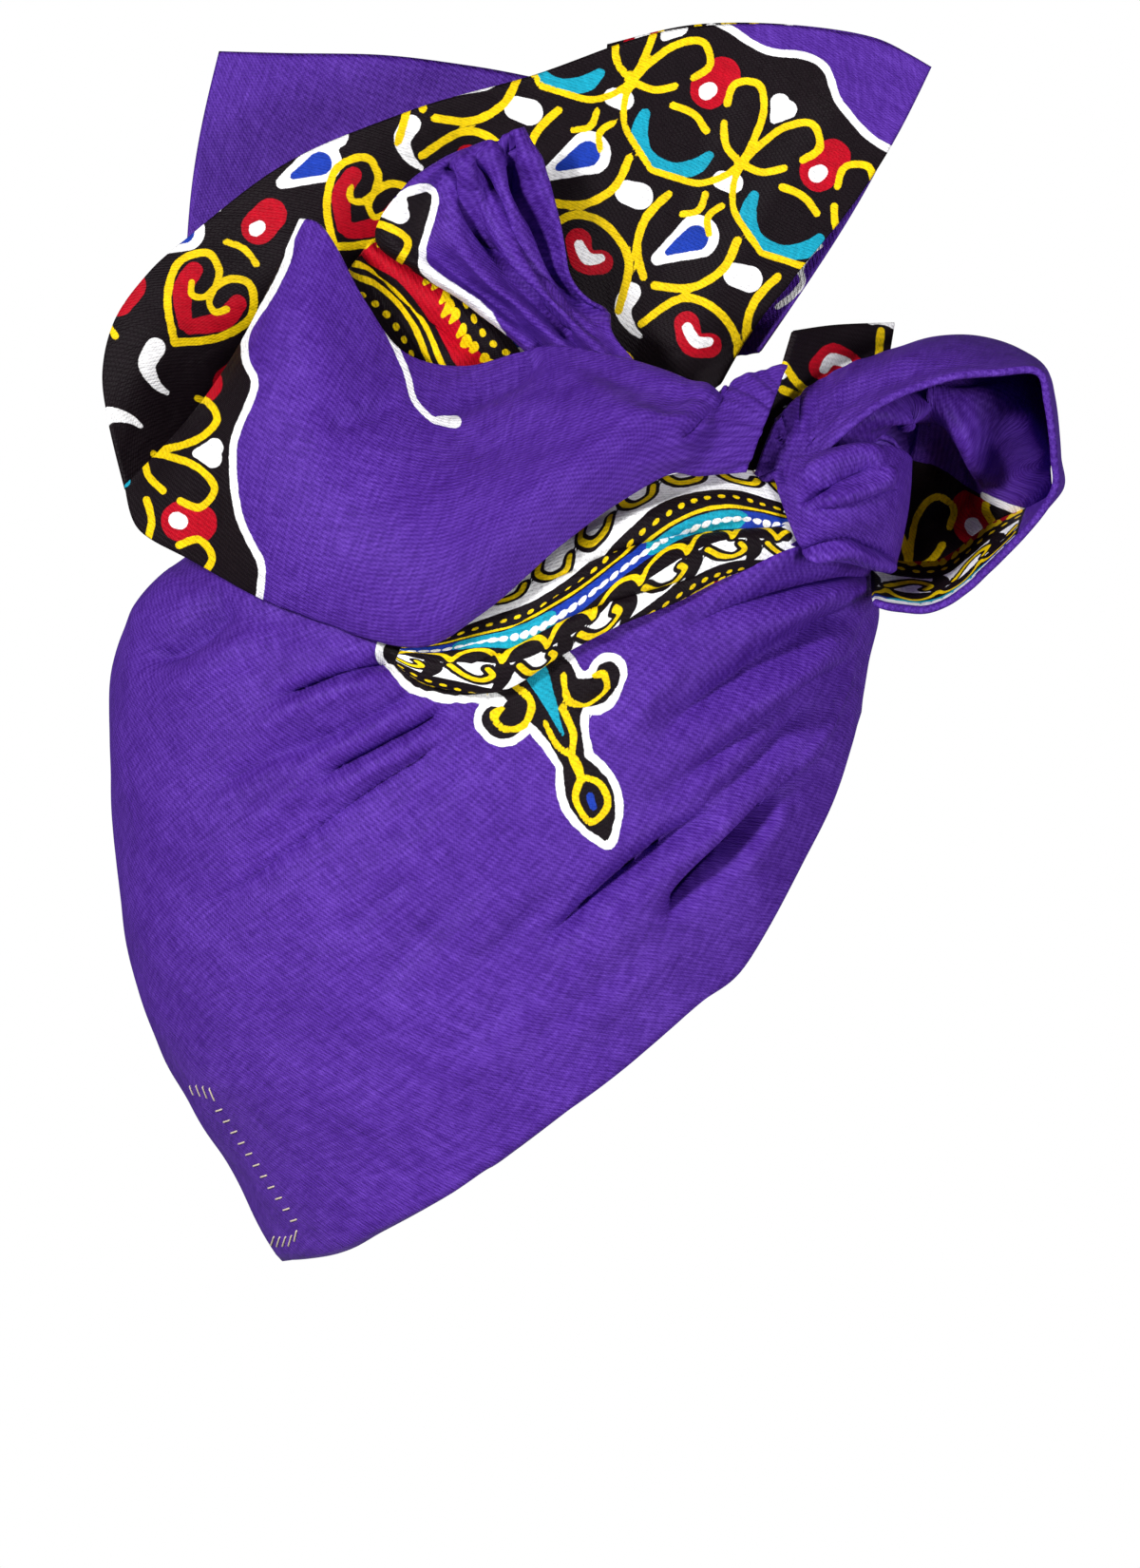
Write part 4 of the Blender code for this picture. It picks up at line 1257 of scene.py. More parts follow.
@dataclass
class HeadCap:
    """The cloth over the head: a dome, open at the face and the neck, pulled to the knot.

    Attributes:
        node: CAD node that it stands for.
        thickness: thickness of the wound layers.
        near_columns: columns on the near side, where the ornament is.
        far_columns: columns on the far side.
        rows: rows from the crown to the rim.
        column_density: how densely the near columns lie, from the front to the back.
        row_density: how densely the rows lie, from the crown to the rim.
        rim_roll: how far the lower edge turns in.
        crease_depth: how deep the creases are pressed, against their table.
        pulls: where fine wrinkles run from, how high they are and how far they spread.
        unevenness: height of the cloth's faint unevenness.
        rim_share: share of the way down that the turned edge takes.
        crown_fade: how fast the folds come in from the middle of the crown.
        weave_turn: how far the threads are turned, in degrees.
        flat: width and length that this stretch was cut to, in metres.
    """

    node: str = "head_cap"
    thickness: float = 2.0
    near_columns: int = 252
    far_columns: int = 36
    rows: int = 171
    column_density: Line = (
        (0, 1.3), (0.33, 1.5), (0.38, 2.4), (0.6, 2.4), (0.66, 1.2), (0.85, 0.8), (1, 0.6),
    )
    row_density: Line = (
        (0, 0.5),
        (0.25, 0.7),
        (0.33, 1.5),
        (0.42, 2.2),
        (0.64, 2.2),
        (0.7, 1.5),
        (0.85, 1),
        (1, 0.9),
    )
    rim_roll: float = 1.6
    crease_depth: float = 1.6
    pulls: tuple[tuple[Point, float, float], ...] = (((112.0, -18.0), 1.5, 78.0), ((4.0, -40.0), 0.9, 60.0))
    unevenness: float = 1.1
    rim_share: float = 0.015
    crown_fade: float = 12.0
    weave_turn: float = 38.0
    flat: tuple[float, float] = (0.38, 0.28)

    def angles(self) -> Array:
        """Angles round the head, closer together on the near side and at the ornament."""
        near = 180 * crowded(self.near_columns + 1, self.column_density)[:-1]
        return np.concatenate([near, np.linspace(180, 360, self.far_columns, endpoint=False)])

    def shape(self) -> Surface:
        """Bend the dome and press its folds into it.

        Returns:
            The dome's middle surface.
        """
        angles = self.angles()
        turn = np.minimum(angles, 360 - angles)
        rim = smooth_line(CAP_RIM, 30)
        rim_z = np.interp(turn, rim[:, 0], rim[:, 1])
        dense = smooth_line(CAP_LEVELS, 40)
        positions = np.linspace(0, len(CAP_LEVELS) - 1, len(dense))
        end = np.interp(-rim_z, -dense[:, 0], positions)
        share = crowded(self.rows, self.row_density)
        level = smooth_rows(np.array(CAP_LEVELS, float), (share[:, None] * end[None]).ravel())
        z, back, front, half_width = (level[:, i].reshape(self.rows, -1) for i in range(4))
        cosine, sine = np.cos(np.radians(angles)), np.sin(np.radians(angles))
        power = 2 / CAP_SQUARENESS
        x = (front + back) / 2 + (front - back) / 2 * np.sign(cosine) * np.abs(cosine) ** power
        y = -half_width * np.sign(sine) * np.abs(sine) ** power
        points = np.stack([x, y, z], -1)
        bare = Surface(points, self.thickness, wrap=True, pole=True)
        relief = fold_relief(x, z, CAP_BROAD_FOLDS) * np.abs(sine) ** power
        near_side = np.clip(np.abs(sine) * 2, 0, 1)
        relief += self.crease_depth * fold_relief(x, z, CAP_CREASES) * near_side
        for focus, height, reach in self.pulls:
            relief += pulled(x, z, focus, height, reach) * near_side
        relief += ripple(points, self.unevenness) - self.thickness / 2
        edge = np.clip(1 - (1 - share[:, None]) / self.rim_share, 0, 1)
        relief -= self.rim_roll * edge**2
        fade = np.clip(share * self.crown_fade, 0, 1)[:, None]
        relief = relief * fade - self.thickness / 2 * (1 - fade)
        folded = points + bare.normals * relief[..., None]
        return Surface(folded, self.thickness, self.weave_turn, wrap=True, pole=True, laid=points)

    def printed(self, surface: Surface) -> Array:
        """Ink distances of the ornament that hangs on the near side.

        Args:
            surface: the sheet's middle surface.

        Returns:
            The ink distances of the sheet.
        """
        x, y, z = np.moveaxis(surface.points, -1, 0)
        inks = blank_inks(x.shape)
        x = np.where(y < 0, x, x + PENDANT_CLEAR)
        for stroke in PENDANT:
            lay_stroke(inks, x, z, stroke)
        inks[..., Ink.WHITE.value] = inks[..., Ink.LINE.value] - PENDANT_RIM
        return inks

    def build(self, finish: bpy.types.Material) -> bpy.types.Object:
        """Make the cap, dress it and put it in place of its node.

        Args:
            finish: the printed cloth.

        Returns:
            The cap.
        """
        surface = self.shape()
        obj = sheet_mesh("cap_cloth", surface, self.printed(surface))
        return dress(obj, finish, self.node, self.flat)


def dress(
    obj: bpy.types.Object,
    finish: bpy.types.Material,
    node: str,
    flat: tuple[float, float],
) -> bpy.types.Object:
    """Give a piece its material and tie it to the frame.

    Args:
        obj: the piece.
        finish: its material.
        node: CAD node that it stands for.
        flat: the size that it was cut to, in metres.

    Returns:
        The piece.
    """
    obj.data.materials.append(finish)
    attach(obj, BODY)
    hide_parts(node)
    faces = obj.data.polygons
    area = sum(face.area for face in faces) / 2
    LOG.info("%s: %d faces, %.4f square metres, cut to %.4f", obj.name, len(faces), area, flat[0] * flat[1])
    return obj


@dataclass
class Wrapped:
    """A stretch of the strip that is lofted through sections and shown as one sheet.

    Attributes:
        piece: name of the piece.
        node: CAD node that it stands for.
        sections: the sections, in order.
        grid: points along and across.
        thickness: thickness of the cloth.
        seat_axis: axis along which its solid was moved to rest on what holds it.
        flat: the size that it was cut to, in metres.
        held: how it keeps its form; not used here.
        rests_on: pieces that it lies on; not used here.
        creases: its finer folds.
        weave_turn: direction of its threads, in degrees.
        unevenness: height of its faint unevenness.
        wrinkle: height of the fine wrinkles that run from where it is pulled.
        focus: where it is pulled to.
        reach: how far those wrinkles spread.
    """

    piece: str
    node: str
    sections: tuple[Section, ...]
    grid: tuple[int, int]
    thickness: float
    seat_axis: int
    flat: tuple[float, float]
    held: Held = Held.FOLDED
    rests_on: tuple[str, ...] = ("cap_cloth",)
    creases: tuple[Fold, ...] = ()
    weave_turn: float = 0.0
    unevenness: float = 0.35
    wrinkle: float = 0.0
    focus: Point = (84.0, 8.0)
    reach: float = 60.0

    def form(self, points: Array, u: Array, v: Array) -> Array:
        """Change the plain loft into the form of this stretch. Most keep it as it is."""
        return points

    def loft(self, along: int, across: int) -> Array:
        """Loft a grid through the sections.

        Args:
            along: points along the table.
            across: points across a section.

        Returns:
            The grid of points, along by across by three.
        """
        rows = np.array(self.sections, float)
        u, v = np.linspace(0, 1, along), np.linspace(0, 1, across)
        table = smooth_rows(rows, u * (len(rows) - 1))[:, None]
        low, top = table[..., [0, 2, 1]], table[..., [3, 5, 4]]
        swell, peak = table[..., [8, 6, 9]], table[..., 7]
        skew = math.log(0.5) / np.log(peak)
        wave = np.sin(math.pi * v[None] ** skew)[..., None]
        points = low + (top - low) * v[None, :, None] + swell * wave
        return self.form(points, u[:, None], v[None])

    def seat_shift(self, node_grid: tuple[int, int] = (40, 20)) -> Array:
        """How far the solid was moved from its loft to rest on what holds it.

        Args:
            node_grid: points along and across of the solid's own loft.

        Returns:
            The shift along each axis.
        """
        plain = self.loft(*node_grid)
        low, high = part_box(self.node)
        shift = np.zeros(3)
        axis = self.seat_axis
        middle = (low[axis] + high[axis]) / 2 / MM
        shift[axis] = middle - (plain[..., axis].min() + plain[..., axis].max()) / 2
        return shift

    def shape(self) -> Surface:
        """Loft the stretch, seat it and press its creases into it.

        Returns:
            The sheet's middle surface.
        """
        points = self.loft(*self.grid) + self.seat_shift()
        bare = Surface(points, self.thickness)
        relief = fold_relief(points[..., 0], points[..., 2], self.creases)
        relief += ripple(points, self.unevenness)
        if self.wrinkle:
            relief += pulled(points[..., 0], points[..., 2], self.focus, self.wrinkle, self.reach)
        folded = points + bare.normals * relief[..., None]
        return Surface(folded, self.thickness, self.weave_turn, laid=points)

    def printed(self, surface: Surface) -> Optional[Array]:
        """Ink distances of the stretch, or None where it is plain."""
        return None

    def build(self, plain: bpy.types.Material, print_cloth: bpy.types.Material) -> bpy.types.Object:
        """Make the piece, dress it and put it in place of its node.

        Args:
            plain: the dyed cloth.
            print_cloth: the printed cloth.

        Returns:
            The piece.
        """
        surface = self.shape()
        inks = self.printed(surface)
        obj = sheet_mesh(self.piece, surface, inks)
        finish, slot = (plain, Slot.PURPLE) if inks is None else (print_cloth, Slot.PRINTED)
        return dress(obj, finish, self.node, self.flat)


def above_cap(points: Array, lift: float) -> Array:
    """Move points to the near side where they would lie too close to the cap.

    Args:
        points: the points to move.
        lift: how far from the cap they have to stay.

    Returns:
        The moved points.
    """
    reach = cap_reach(points[..., 0], points[..., 2])
    limit = np.where(reach > 0, -(reach + lift), np.inf)
    moved = points.copy()
    moved[..., 1] = np.minimum(points[..., 1], limit)
    return moved


def rolls(v: Array, count: int) -> Array:
    """Rounded rolls across a section: 0 at both edges and 1 on each crest."""
    return np.abs(np.sin(math.pi * count * v))


@dataclass
class TwistRoll(Wrapped):
    """The printed roll that runs over the cap into the knot.

    Attributes:
        roll_count: how many rolls it has across.
        roll_height: how high they stand.
        roll_start: how far they have risen at its lower end.
        print_end: how far forward the print runs.
        spread: how much wider the print lies than the roll.
        swing: how far the bands sway.
        swing_length: how long one sway is.
        swing_start: where in its sway the first one starts.
        scallop_width: width of the scallops at the print's end.
        scallop_height: how far they reach.
    """

    piece: str = "twist_cloth"
    node: str = "twist_roll"
    sections: tuple[Section, ...] = (
        Section(-24, -50, -81, -21.5, -44, -79.5, -1),
        Section(-14.5, -56, -82, -8, -38.5, -79, -2),
        Section(3, -57.5, -82, 8, -25.5, -74, -4),
        Section(18.5, -48.5, -80.5, 21, -15, -69, -5),
        Section(33, -41, -77.5, 36, -5, -62, -6),
        Section(47.5, -35, -72, 51, -0.5, -55, -6),
        Section(62.5, -27.5, -63, 65.5, 0.5, -50, -5),
        Section(76.5, -23, -54, 77, -2, -45, -4),
        Section(85, -20, -47, 83, -6.5, -41, -2),
    )
    grid: tuple[int, int] = (190, 90)
    thickness: float = 1.4
    seat_axis: int = 1
    flat: tuple[float, float] = (0.12, 0.034)
    held: Held = Held.GATHERED
    creases: tuple[Fold, ...] = (
        Fold(((14, -30), (30, -22), (48, -17), (64, -14.5), (79, -14)), -3, 1.3, 0.15, 0.1, Crease.SHARP),
        Fold(((-8, -52), (8, -45), (24, -37), (44, -31), (62, -25)), -2.4, 1.2, 0.2, 0.3, Crease.SHARP),
        Fold(((20, -22), (36, -14), (54, -9.5), (72, -8)), 1.6, 2.6, 0.2, 0.2),
    )
    roll_count: int = 2
    roll_height: float = 1.8
    roll_start: float = 0.4
    print_end: float = 77.0
    swing: float = 6.0
    swing_length: float = 86.0
    swing_start: float = 1.2
    spread: float = 1.1
    scallop_width: float = 11.0
    scallop_height: float = 2.6

    def form(self, points: Array, u: Array, v: Array) -> Array:
        """Roll the cloth lengthways and lay it on the cap.

        Args:
            points: the plain loft.
            u: how far along each row is.
            v: how far across each column is.

        Returns:
            The changed grid.
        """
        rise = np.sin(math.pi / 2 * np.minimum(self.roll_start + 2 * u, 1.0))
        points = points.copy()
        points[..., 1] -= self.roll_height * rolls(v, self.roll_count) * rise
        return above_cap(points, LIE_LIFT)

    def printed(self, surface: Surface) -> Array:
        """The bands, running along the roll and narrowing with it at its ends.

        Args:
            surface: the sheet's middle surface.

        Returns:
            The ink distances of the sheet.
        """
        length, width = surface.arc_lengths()
        widest = (width[:, -1] - width[:, 0]).max()
        v = np.linspace(0, 1, self.grid[1])[None]
        across = (1 - v) * widest * self.spread
        wave = self.swing * np.sin(2 * math.pi * length / self.swing_length + self.swing_start)
        inks = lay_bands(length, across + wave)
        scallops = self.scallop_height * np.abs(np.sin(math.pi * across / self.scallop_width))
        inside = self.print_end + scallops - surface.points[..., 0]
        clear_outside(inks, inside)
        border = np.abs(inside) - BORDER_WIDTH / 2
        inks[..., Ink.WHITE.value] = np.minimum(inks[..., Ink.WHITE.value], border)
        return inks


@dataclass
class SideLobe(Wrapped):
    """The broad purple lobe over the near side, with the print's edge at its left.

    Attributes:
        print_edge: the wavy edge of the print, from the top down.
        right_edge: the thin white line on its right.
        line_hook: the end of that line, with the half widths that it swells to.
        print_frame: where the field print lies.
    """

    piece: str = "lobe_cloth"
    node: str = "side_lobe"
    sections: tuple[Section, ...] = (
        Section(-95, -3.5, -37, -49, 66, -44, -4, 0.5, 3.5, -5),
        Section(-91, -15, -42, -44, 64.5, -47, -12, 0.5, 2, -2),
        Section(-77.5, -23, -50, -39, 57.5, -49, -17),
        Section(-62, -31.5, -62, -32, 44.5, -50, -19, 0.45),
        Section(-41.5, -40, -72, -22, 31, -48, -20, 0.42),
        Section(-18, -46, -85, -6, 27.5, -40, -22, 0.4),
        Section(-2, -37.5, -88, 14, 32.5, -42, -19, 0.42),
        Section(17.5, -21, -85.5, 31, 30.5, -49, -14),
        Section(36, -7, -77, 46, 26, -52, -10),
        Section(47, -1, -70, 60, 20.5, -54, -7),
        Section(54.5, -1.5, -64, 64.5, 24, -48, -5),
        Section(67, -0.5, -59, 78, 28, -44, -4),
    )
    grid: tuple[int, int] = (270, 160)
    thickness: float = 1.4
    seat_axis: int = 1
    flat: tuple[float, float] = (0.19, 0.075)
    weave_turn: float = -17.0
    creases: tuple[Fold, ...] = (
        Fold(((61, 23), (60.5, 18.5), (55, 12.5), (49, 7)), -2.2, 1.5, 0.1, 0.25, Crease.SHARP),
        Fold(((57, 24), (55, 18.5), (50, 12.5), (45, 7)), 1.3, 3, 0.1, 0.25),
        Fold(((-16.5, 9), (0, 6), (17, 8), (33, 13.5)), -1.4, 6),
        Fold(((13.5, 31), (8, 24.5), (-3, 19), (-15, 14)), -2.6, 2.8, 0.1, 0.3),
        Fold(((20, 30), (33, 22.5), (46, 18), (58, 20)), -1.6, 3.6),
        Fold(((22, 26), (34, 18), (48, 11)), 1.2, 4),
        Fold(((-22.5, 18), (-32, 13.5), (-44, 10.5)), -1.6, 2.8),
        Fold(((-62, 20), (-50, 12), (-38, 2)), 0.9, 6),
        Fold(((-50, 46), (-44, 30), (-40, 14)), 0.9, 6),
        Fold(((78, 22), (68, 17), (58, 10)), 0.8, 3),
    )
    wrinkle: float = 1.1
    print_edge: Line = (
        (-47, 68),
        (-50.5, 61.5),
        (-52, 54),
        (-57, 44),
        (-62, 36.5),
        (-62.5, 29),
        (-60, 23),
        (-61, 18),
        (-65, 8.5),
        (-65.5, -1),
        (-64, -11.5),
        (-61, -18.5),
        (-58, -25),
        (-59, -34),
    )
    right_edge: Line = (
        (-44, 66),
        (-40, 60.5),
        (-30.5, 44),
        (-25, 33),
        (-21.5, 25),
        (-19.5, 18),
        (-15, 13),
    )
    line_hook: tuple[tuple[float, float, float], ...] = ((-12.0, 12.4, 1.3), (-8.5, 12.0, 1.7))
    print_frame: PrintFrame = PrintFrame(-62.0, 0.0, 88.0)

    def form(self, points: Array, u: Array, v: Array) -> Array:
        """Lay the lower edge on the cap."""
        return above_cap(points, LIE_LIFT)

    def printed(self, surface: Surface) -> Array:
        """The field print left of the wavy edge, and a thin white line on the right.

        Args:
            surface: the sheet's middle surface.

        Returns:
            The ink distances of the sheet.
        """
        x, z = surface.side_view()
        inks = lay_field(x, z, self.print_edge[::-1], self.print_frame)
        line = drawn(Ink.WHITE, THIN_LINE, *self.right_edge).points + self.line_hook
        lay_stroke(inks, x, z, Stroke(Ink.WHITE, line))
        return inks


@dataclass
class FrontKnot(Wrapped):
    """The knot over the forehead: pleated cloth wrapped round the gathered strip.

    Attributes:
        pleats: how many pleats cross it.
        pleat_height: how high they stand.
    """

    piece: str = "knot_cloth"
    node: str = "front_knot"
    sections: tuple[Section, ...] = (
        Section(81.5, -22, -60, 73.5, -0.5, -56, -2),
        Section(86, -23, -60, 80, 3, -58, -6, 0.55),
        Section(92.5, -24, -57, 90.5, 5.5, -57, -9, 0.6),
        Section(101.5, -25.5, -45, 104.5, 6.5, -52, -8, 0.6),
        Section(105, -25, -32, 109.5, 4.5, -42, -5, 0.5, 1, 0),
        Section(105, -23.5, -22, 108.5, 3.5, -32, -3, 0.5, 1, 0),
    )
    grid: tuple[int, int] = (120, 96)
    thickness: float = 2.0
    seat_axis: int = 1
    flat: tuple[float, float] = (0.055, 0.04)
    held: Held = Held.GATHERED
    weave_turn: float = 20.0
    unevenness: float = 0.25
    pleats: int = 3
    pleat_height: float = 0.5
    creases: tuple[Fold, ...] = (
        Fold(
            ((80.5, -9), (84.8, -6), (90.9, -2.5), (96.5, 0.4), (101, 1.6)),
            -6.4, 1.2, 0.1, 0.2, Crease.SHARP,
        ),
        Fold(((79.5, -4.5), (87, 0.4), (94.6, 3.5), (100.6, 3.5), (103.7, 1.2)), 2.6, 2, 0.2, 0.2),
        Fold(((103.7, 1.2), (102.2, -2.9), (94.6, -6.3), (84.8, -9.1)), 2.2, 1.5, 0.1, 0.2),
        Fold(((83, -10.6), (92.8, -8.6), (100.6, -6), (107.4, -4.1)), -2.4, 1, 0.15, 0.3, Crease.SHARP),
        Fold(((75.6, 1.8), (76.2, -1.5), (76.6, -5)), -3, 1.2, 0.2, 0.3, Crease.SHARP),
        Fold(((80, -13), (88, -13.5), (97, -12), (106, -11)), 1.2, 3.4, 0.3, 0.3),
        Fold(
            ((79, -22), (87, -18.9), (92.8, -17.9), (98.4, -20), (105.5, -22.6)),
            -4.6, 1.2, 0.1, 0.15, Crease.SHARP,
        ),
        Fold(((79, -24.4), (87, -21.4), (92.8, -20.4), (98.4, -22.4), (105.5, -24.6)), 2.8, 1.5, 0.2, 0.1),
    )

    def form(self, points: Array, u: Array, v: Array) -> Array:
        """Draw the cloth into pleats across the knot.

        Args:
            points: the plain loft.
            u: how far along each row is.
            v: how far across each column is.

        Returns:
            The changed grid.
        """
        points = points.copy()
        points[..., 1] -= self.pleat_height * rolls(v, self.pleats)
        return points


@dataclass
class BowLoop(Wrapped):
    """The bow loop that stands out in front of the knot.

    Attributes:
        print_length: how far from the loop's foot the bands reach.
        rim_width: width of the plain rim beside them.
        band_start: how far into the bands they start, along and across.
        border_length: how far from the foot the white border runs.
    """

    piece: str = "bow_cloth"
    node: str = "bow_loop"
    sections: tuple[Section, ...] = (
        Section(68, -4, -46, 75, 14, -39, -1, 0.5, 0, 1),
        Section(83.5, 0.5, -47.5, 81, 20, -32, 0, 0.5, 0, 2),
        Section(91.5, 8.5, -49, 91, 26.5, -23, 0, 0.5, 0, 2.5),
        Section(104, 18, -49, 106, 32, -13, 0, 0.5, 0, 3),
        Section(117.5, 23.5, -48, 121, 35.5, -7, 0, 0.5, 0, 3),
        Section(132.5, 25, -45, 135, 34, -3, 0, 0.5, 0.5, 2),
        Section(143, 25.5, -43, 145, 28, 0, 0, 0.5, 0, 1),
        Section(145.5, 17.5, -42, 148, 20, 0, 0),
        Section(147, 4, -41, 149.5, 5, 0, 0),
        Section(146.5, -6.5, -41, 149, -5, -1, 0),
        Section(134, -22, -43, 131.5, -13.5, -5, 0, 0.5, 1, -1),
        Section(116.5, -35.5, -43, 118.5, -22.5, -7, 0, 0.5, 0, -2),
        Section(100, -34.5, -39, 100, -23, -7, 0, 0.5, 0, -1),
    )
    grid: tuple[int, int] = (220, 54)
    thickness: float = 2.0
    seat_axis: int = 1
    flat: tuple[float, float] = (0.19, 0.036)
    rests_on: tuple[str, ...] = ("knot_cloth",)
    weave_turn: float = 8.0
    unevenness: float = 0.5
    wrinkle: float = 0.9
    focus: Point = (80.0, 2.0)
    reach: float = 40.0
    print_length: float = 46.0
    rim_width: float = 3.6
    band_start: Point = (10.0, 24.0)
    border_length: float = 30.0
    creases: tuple[Fold, ...] = (
        Fold(((78, 8), (92, 17), (108, 24), (124, 28)), -1.3, 2.2, 0.2, 0.4),
        Fold(((86, 18), (100, 25), (116, 31)), 0.9, 2.6),
    )

    def printed(self, surface: Surface) -> Array:
        """The bands, which show on the inside of the loop's foot.

        Args:
            surface: the sheet's middle surface.

        Returns:
            The ink distances of the sheet.
        """
        length, width = surface.arc_lengths()
        left = length[-1:] - length
        across = width - width[:, :1]
        inks = lay_bands(left + self.band_start[0], across + self.band_start[1])
        inside = np.minimum(self.print_length - left, across - self.rim_width)
        clear_outside(inks, inside)
        border = np.abs(inside) - BORDER_WIDTH / 2 + np.clip(left - self.border_length, 0, FAR)
        inks[..., Ink.WHITE.value] = np.minimum(inks[..., Ink.WHITE.value], border)
        return inks


@dataclass
class BowBackWall(Wrapped):
    """The cloth that closes the bow loop behind, with a fold that leans out of it.

    Attributes:
        recess: depth of the pocket in its lower half.
        pocket: middle and reach of the pocket, across and along.
        border_start: how far forward the white border starts.
        print_edge: the edge of the print.
        print_frame: where the field print lies.
    """

    piece: str = "bow_back_cloth"
    node: str = "bow_back_wall"
    sections: tuple[Section, ...] = (
        Section(82, 2, -32, 85.5, 11.5, -31, -1),
        Section(96, 2, -25, 97, 24.5, -15, -8),
        Section(106, 3.5, -13, 108, 31, -5, -14),
        Section(107, -26.5, -2, 116.5, 34, 1, -16, 0.7),
        Section(121.5, -29.5, 1, 127.5, 34.5, 3, -20, 0.75),
        Section(134.5, -18, 2, 137, 32.5, 4, -19, 0.65),
        Section(148, -5.5, 4, 145, 27, 4, -8, 0.4),
    )
    grid: tuple[int, int] = (96, 84)
    thickness: float = 1.4
    seat_axis: int = 1
    flat: tuple[float, float] = (0.085, 0.07)
    recess: float = 21.0
    pocket: tuple[Point, Point] = ((0.34, 0.2), (0.56, 0.24))
    border_start: float = 130.0
    print_frame: PrintFrame = PrintFrame(104.0, 2.0, 4.0, -1)
    print_edge: Line = ((150, -11), (138, -9), (128, -4), (116, 3), (98, 6))
    rests_on: tuple[str, ...] = ("bow_cloth",)
    weave_turn: float = 35.0
    creases: tuple[Fold, ...] = (
        Fold(((86, 8), (97, 14), (110, 18), (120, 17.5), (127, 8), (132, -1), (135, -9)), 8, 3.2),
        Fold(((92, 14), (106, 21), (122, 25), (140, 26)), -4, 2.8),
        Fold(((98, 4), (108, 7.5), (117, 7), (122, 0), (126, -10)), -9, 4.4),
        Fold(((136, 20), (141, 10), (146, 0)), 2.2, 3),
    )

    def form(self, points: Array, u: Array, v: Array) -> Array:
        """Sink the lower half into a pocket, and leave the fold above it standing.

        Args:
            points: the plain loft.
            u: how far along each row is.
            v: how far across each column is.

        Returns:
            The changed grid.
        """
        points = points.copy()
        (across, width), (along, length) = self.pocket
        pocket = np.exp(-(((v - across) / width) ** 2) - ((u - along) / length) ** 2)
        points[..., 1] += self.recess * pocket * np.sin(math.pi * v) ** 0.5
        return points

    def printed(self, surface: Surface) -> Array:
        """The field print low on the wall, whose white border shows only in front.

        Args:
            surface: the sheet's middle surface.

        Returns:
            The ink distances of the sheet.
        """
        x, z = surface.side_view()
        inks = lay_field(x, z, self.print_edge, self.print_frame)
        inks[..., Ink.WHITE.value] += FAR * np.clip((self.border_start - x) / PRINT_FADE, 0, 1)
        return inks


@dataclass
class EndTab(Wrapped):
    """The short printed end of cloth that stands behind the bow loop.

    Attributes:
        print_edge: the edge of the print, far below the cloth that shows.
        painted_shade_below: height under which the motifs are left out, so that the near-black ground paints
            the shade deep in the gap.
        print_frame: where the field print lies.
    """

    piece: str = "tab_cloth"
    node: str = "end_tab"
    sections: tuple[Section, ...] = (
        Section(67.5, -0.5, -30, 79.5, 37, -22, 0),
        Section(83.5, 7, -12, 91, 39, -8, -2),
        Section(102.5, 17.5, 4, 106.5, 40, 5, -1),
    )
    grid: tuple[int, int] = (70, 70)
    thickness: float = 2.0
    seat_axis: int = 1
    flat: tuple[float, float] = (0.045, 0.032)
    rests_on: tuple[str, ...] = ("bow_cloth",)
    print_edge: Line = ((40, -60), (140, -60))
    painted_shade_below: float = 17.0
    print_frame: PrintFrame = PrintFrame(83.0, -45.0, 12.0)

    def printed(self, surface: Surface) -> Array:
        """The field print, from its third row on, with its motifs left out deep in the gap, where the bare
        near-black ground is painted shade.

        Args:
            surface: the sheet's middle surface.

        Returns:
            The ink distances of the sheet.
        """
        x, z = surface.side_view()
        inks = lay_field(x, z, self.print_edge, self.print_frame)
        # Motifs left out low in the gap: the near-black ground stands in for the shade there, painted shade.
        inks[..., 1:] += FAR * np.clip((self.painted_shade_below - z) / PRINT_FADE, 0, 1)[..., None]
        return inks


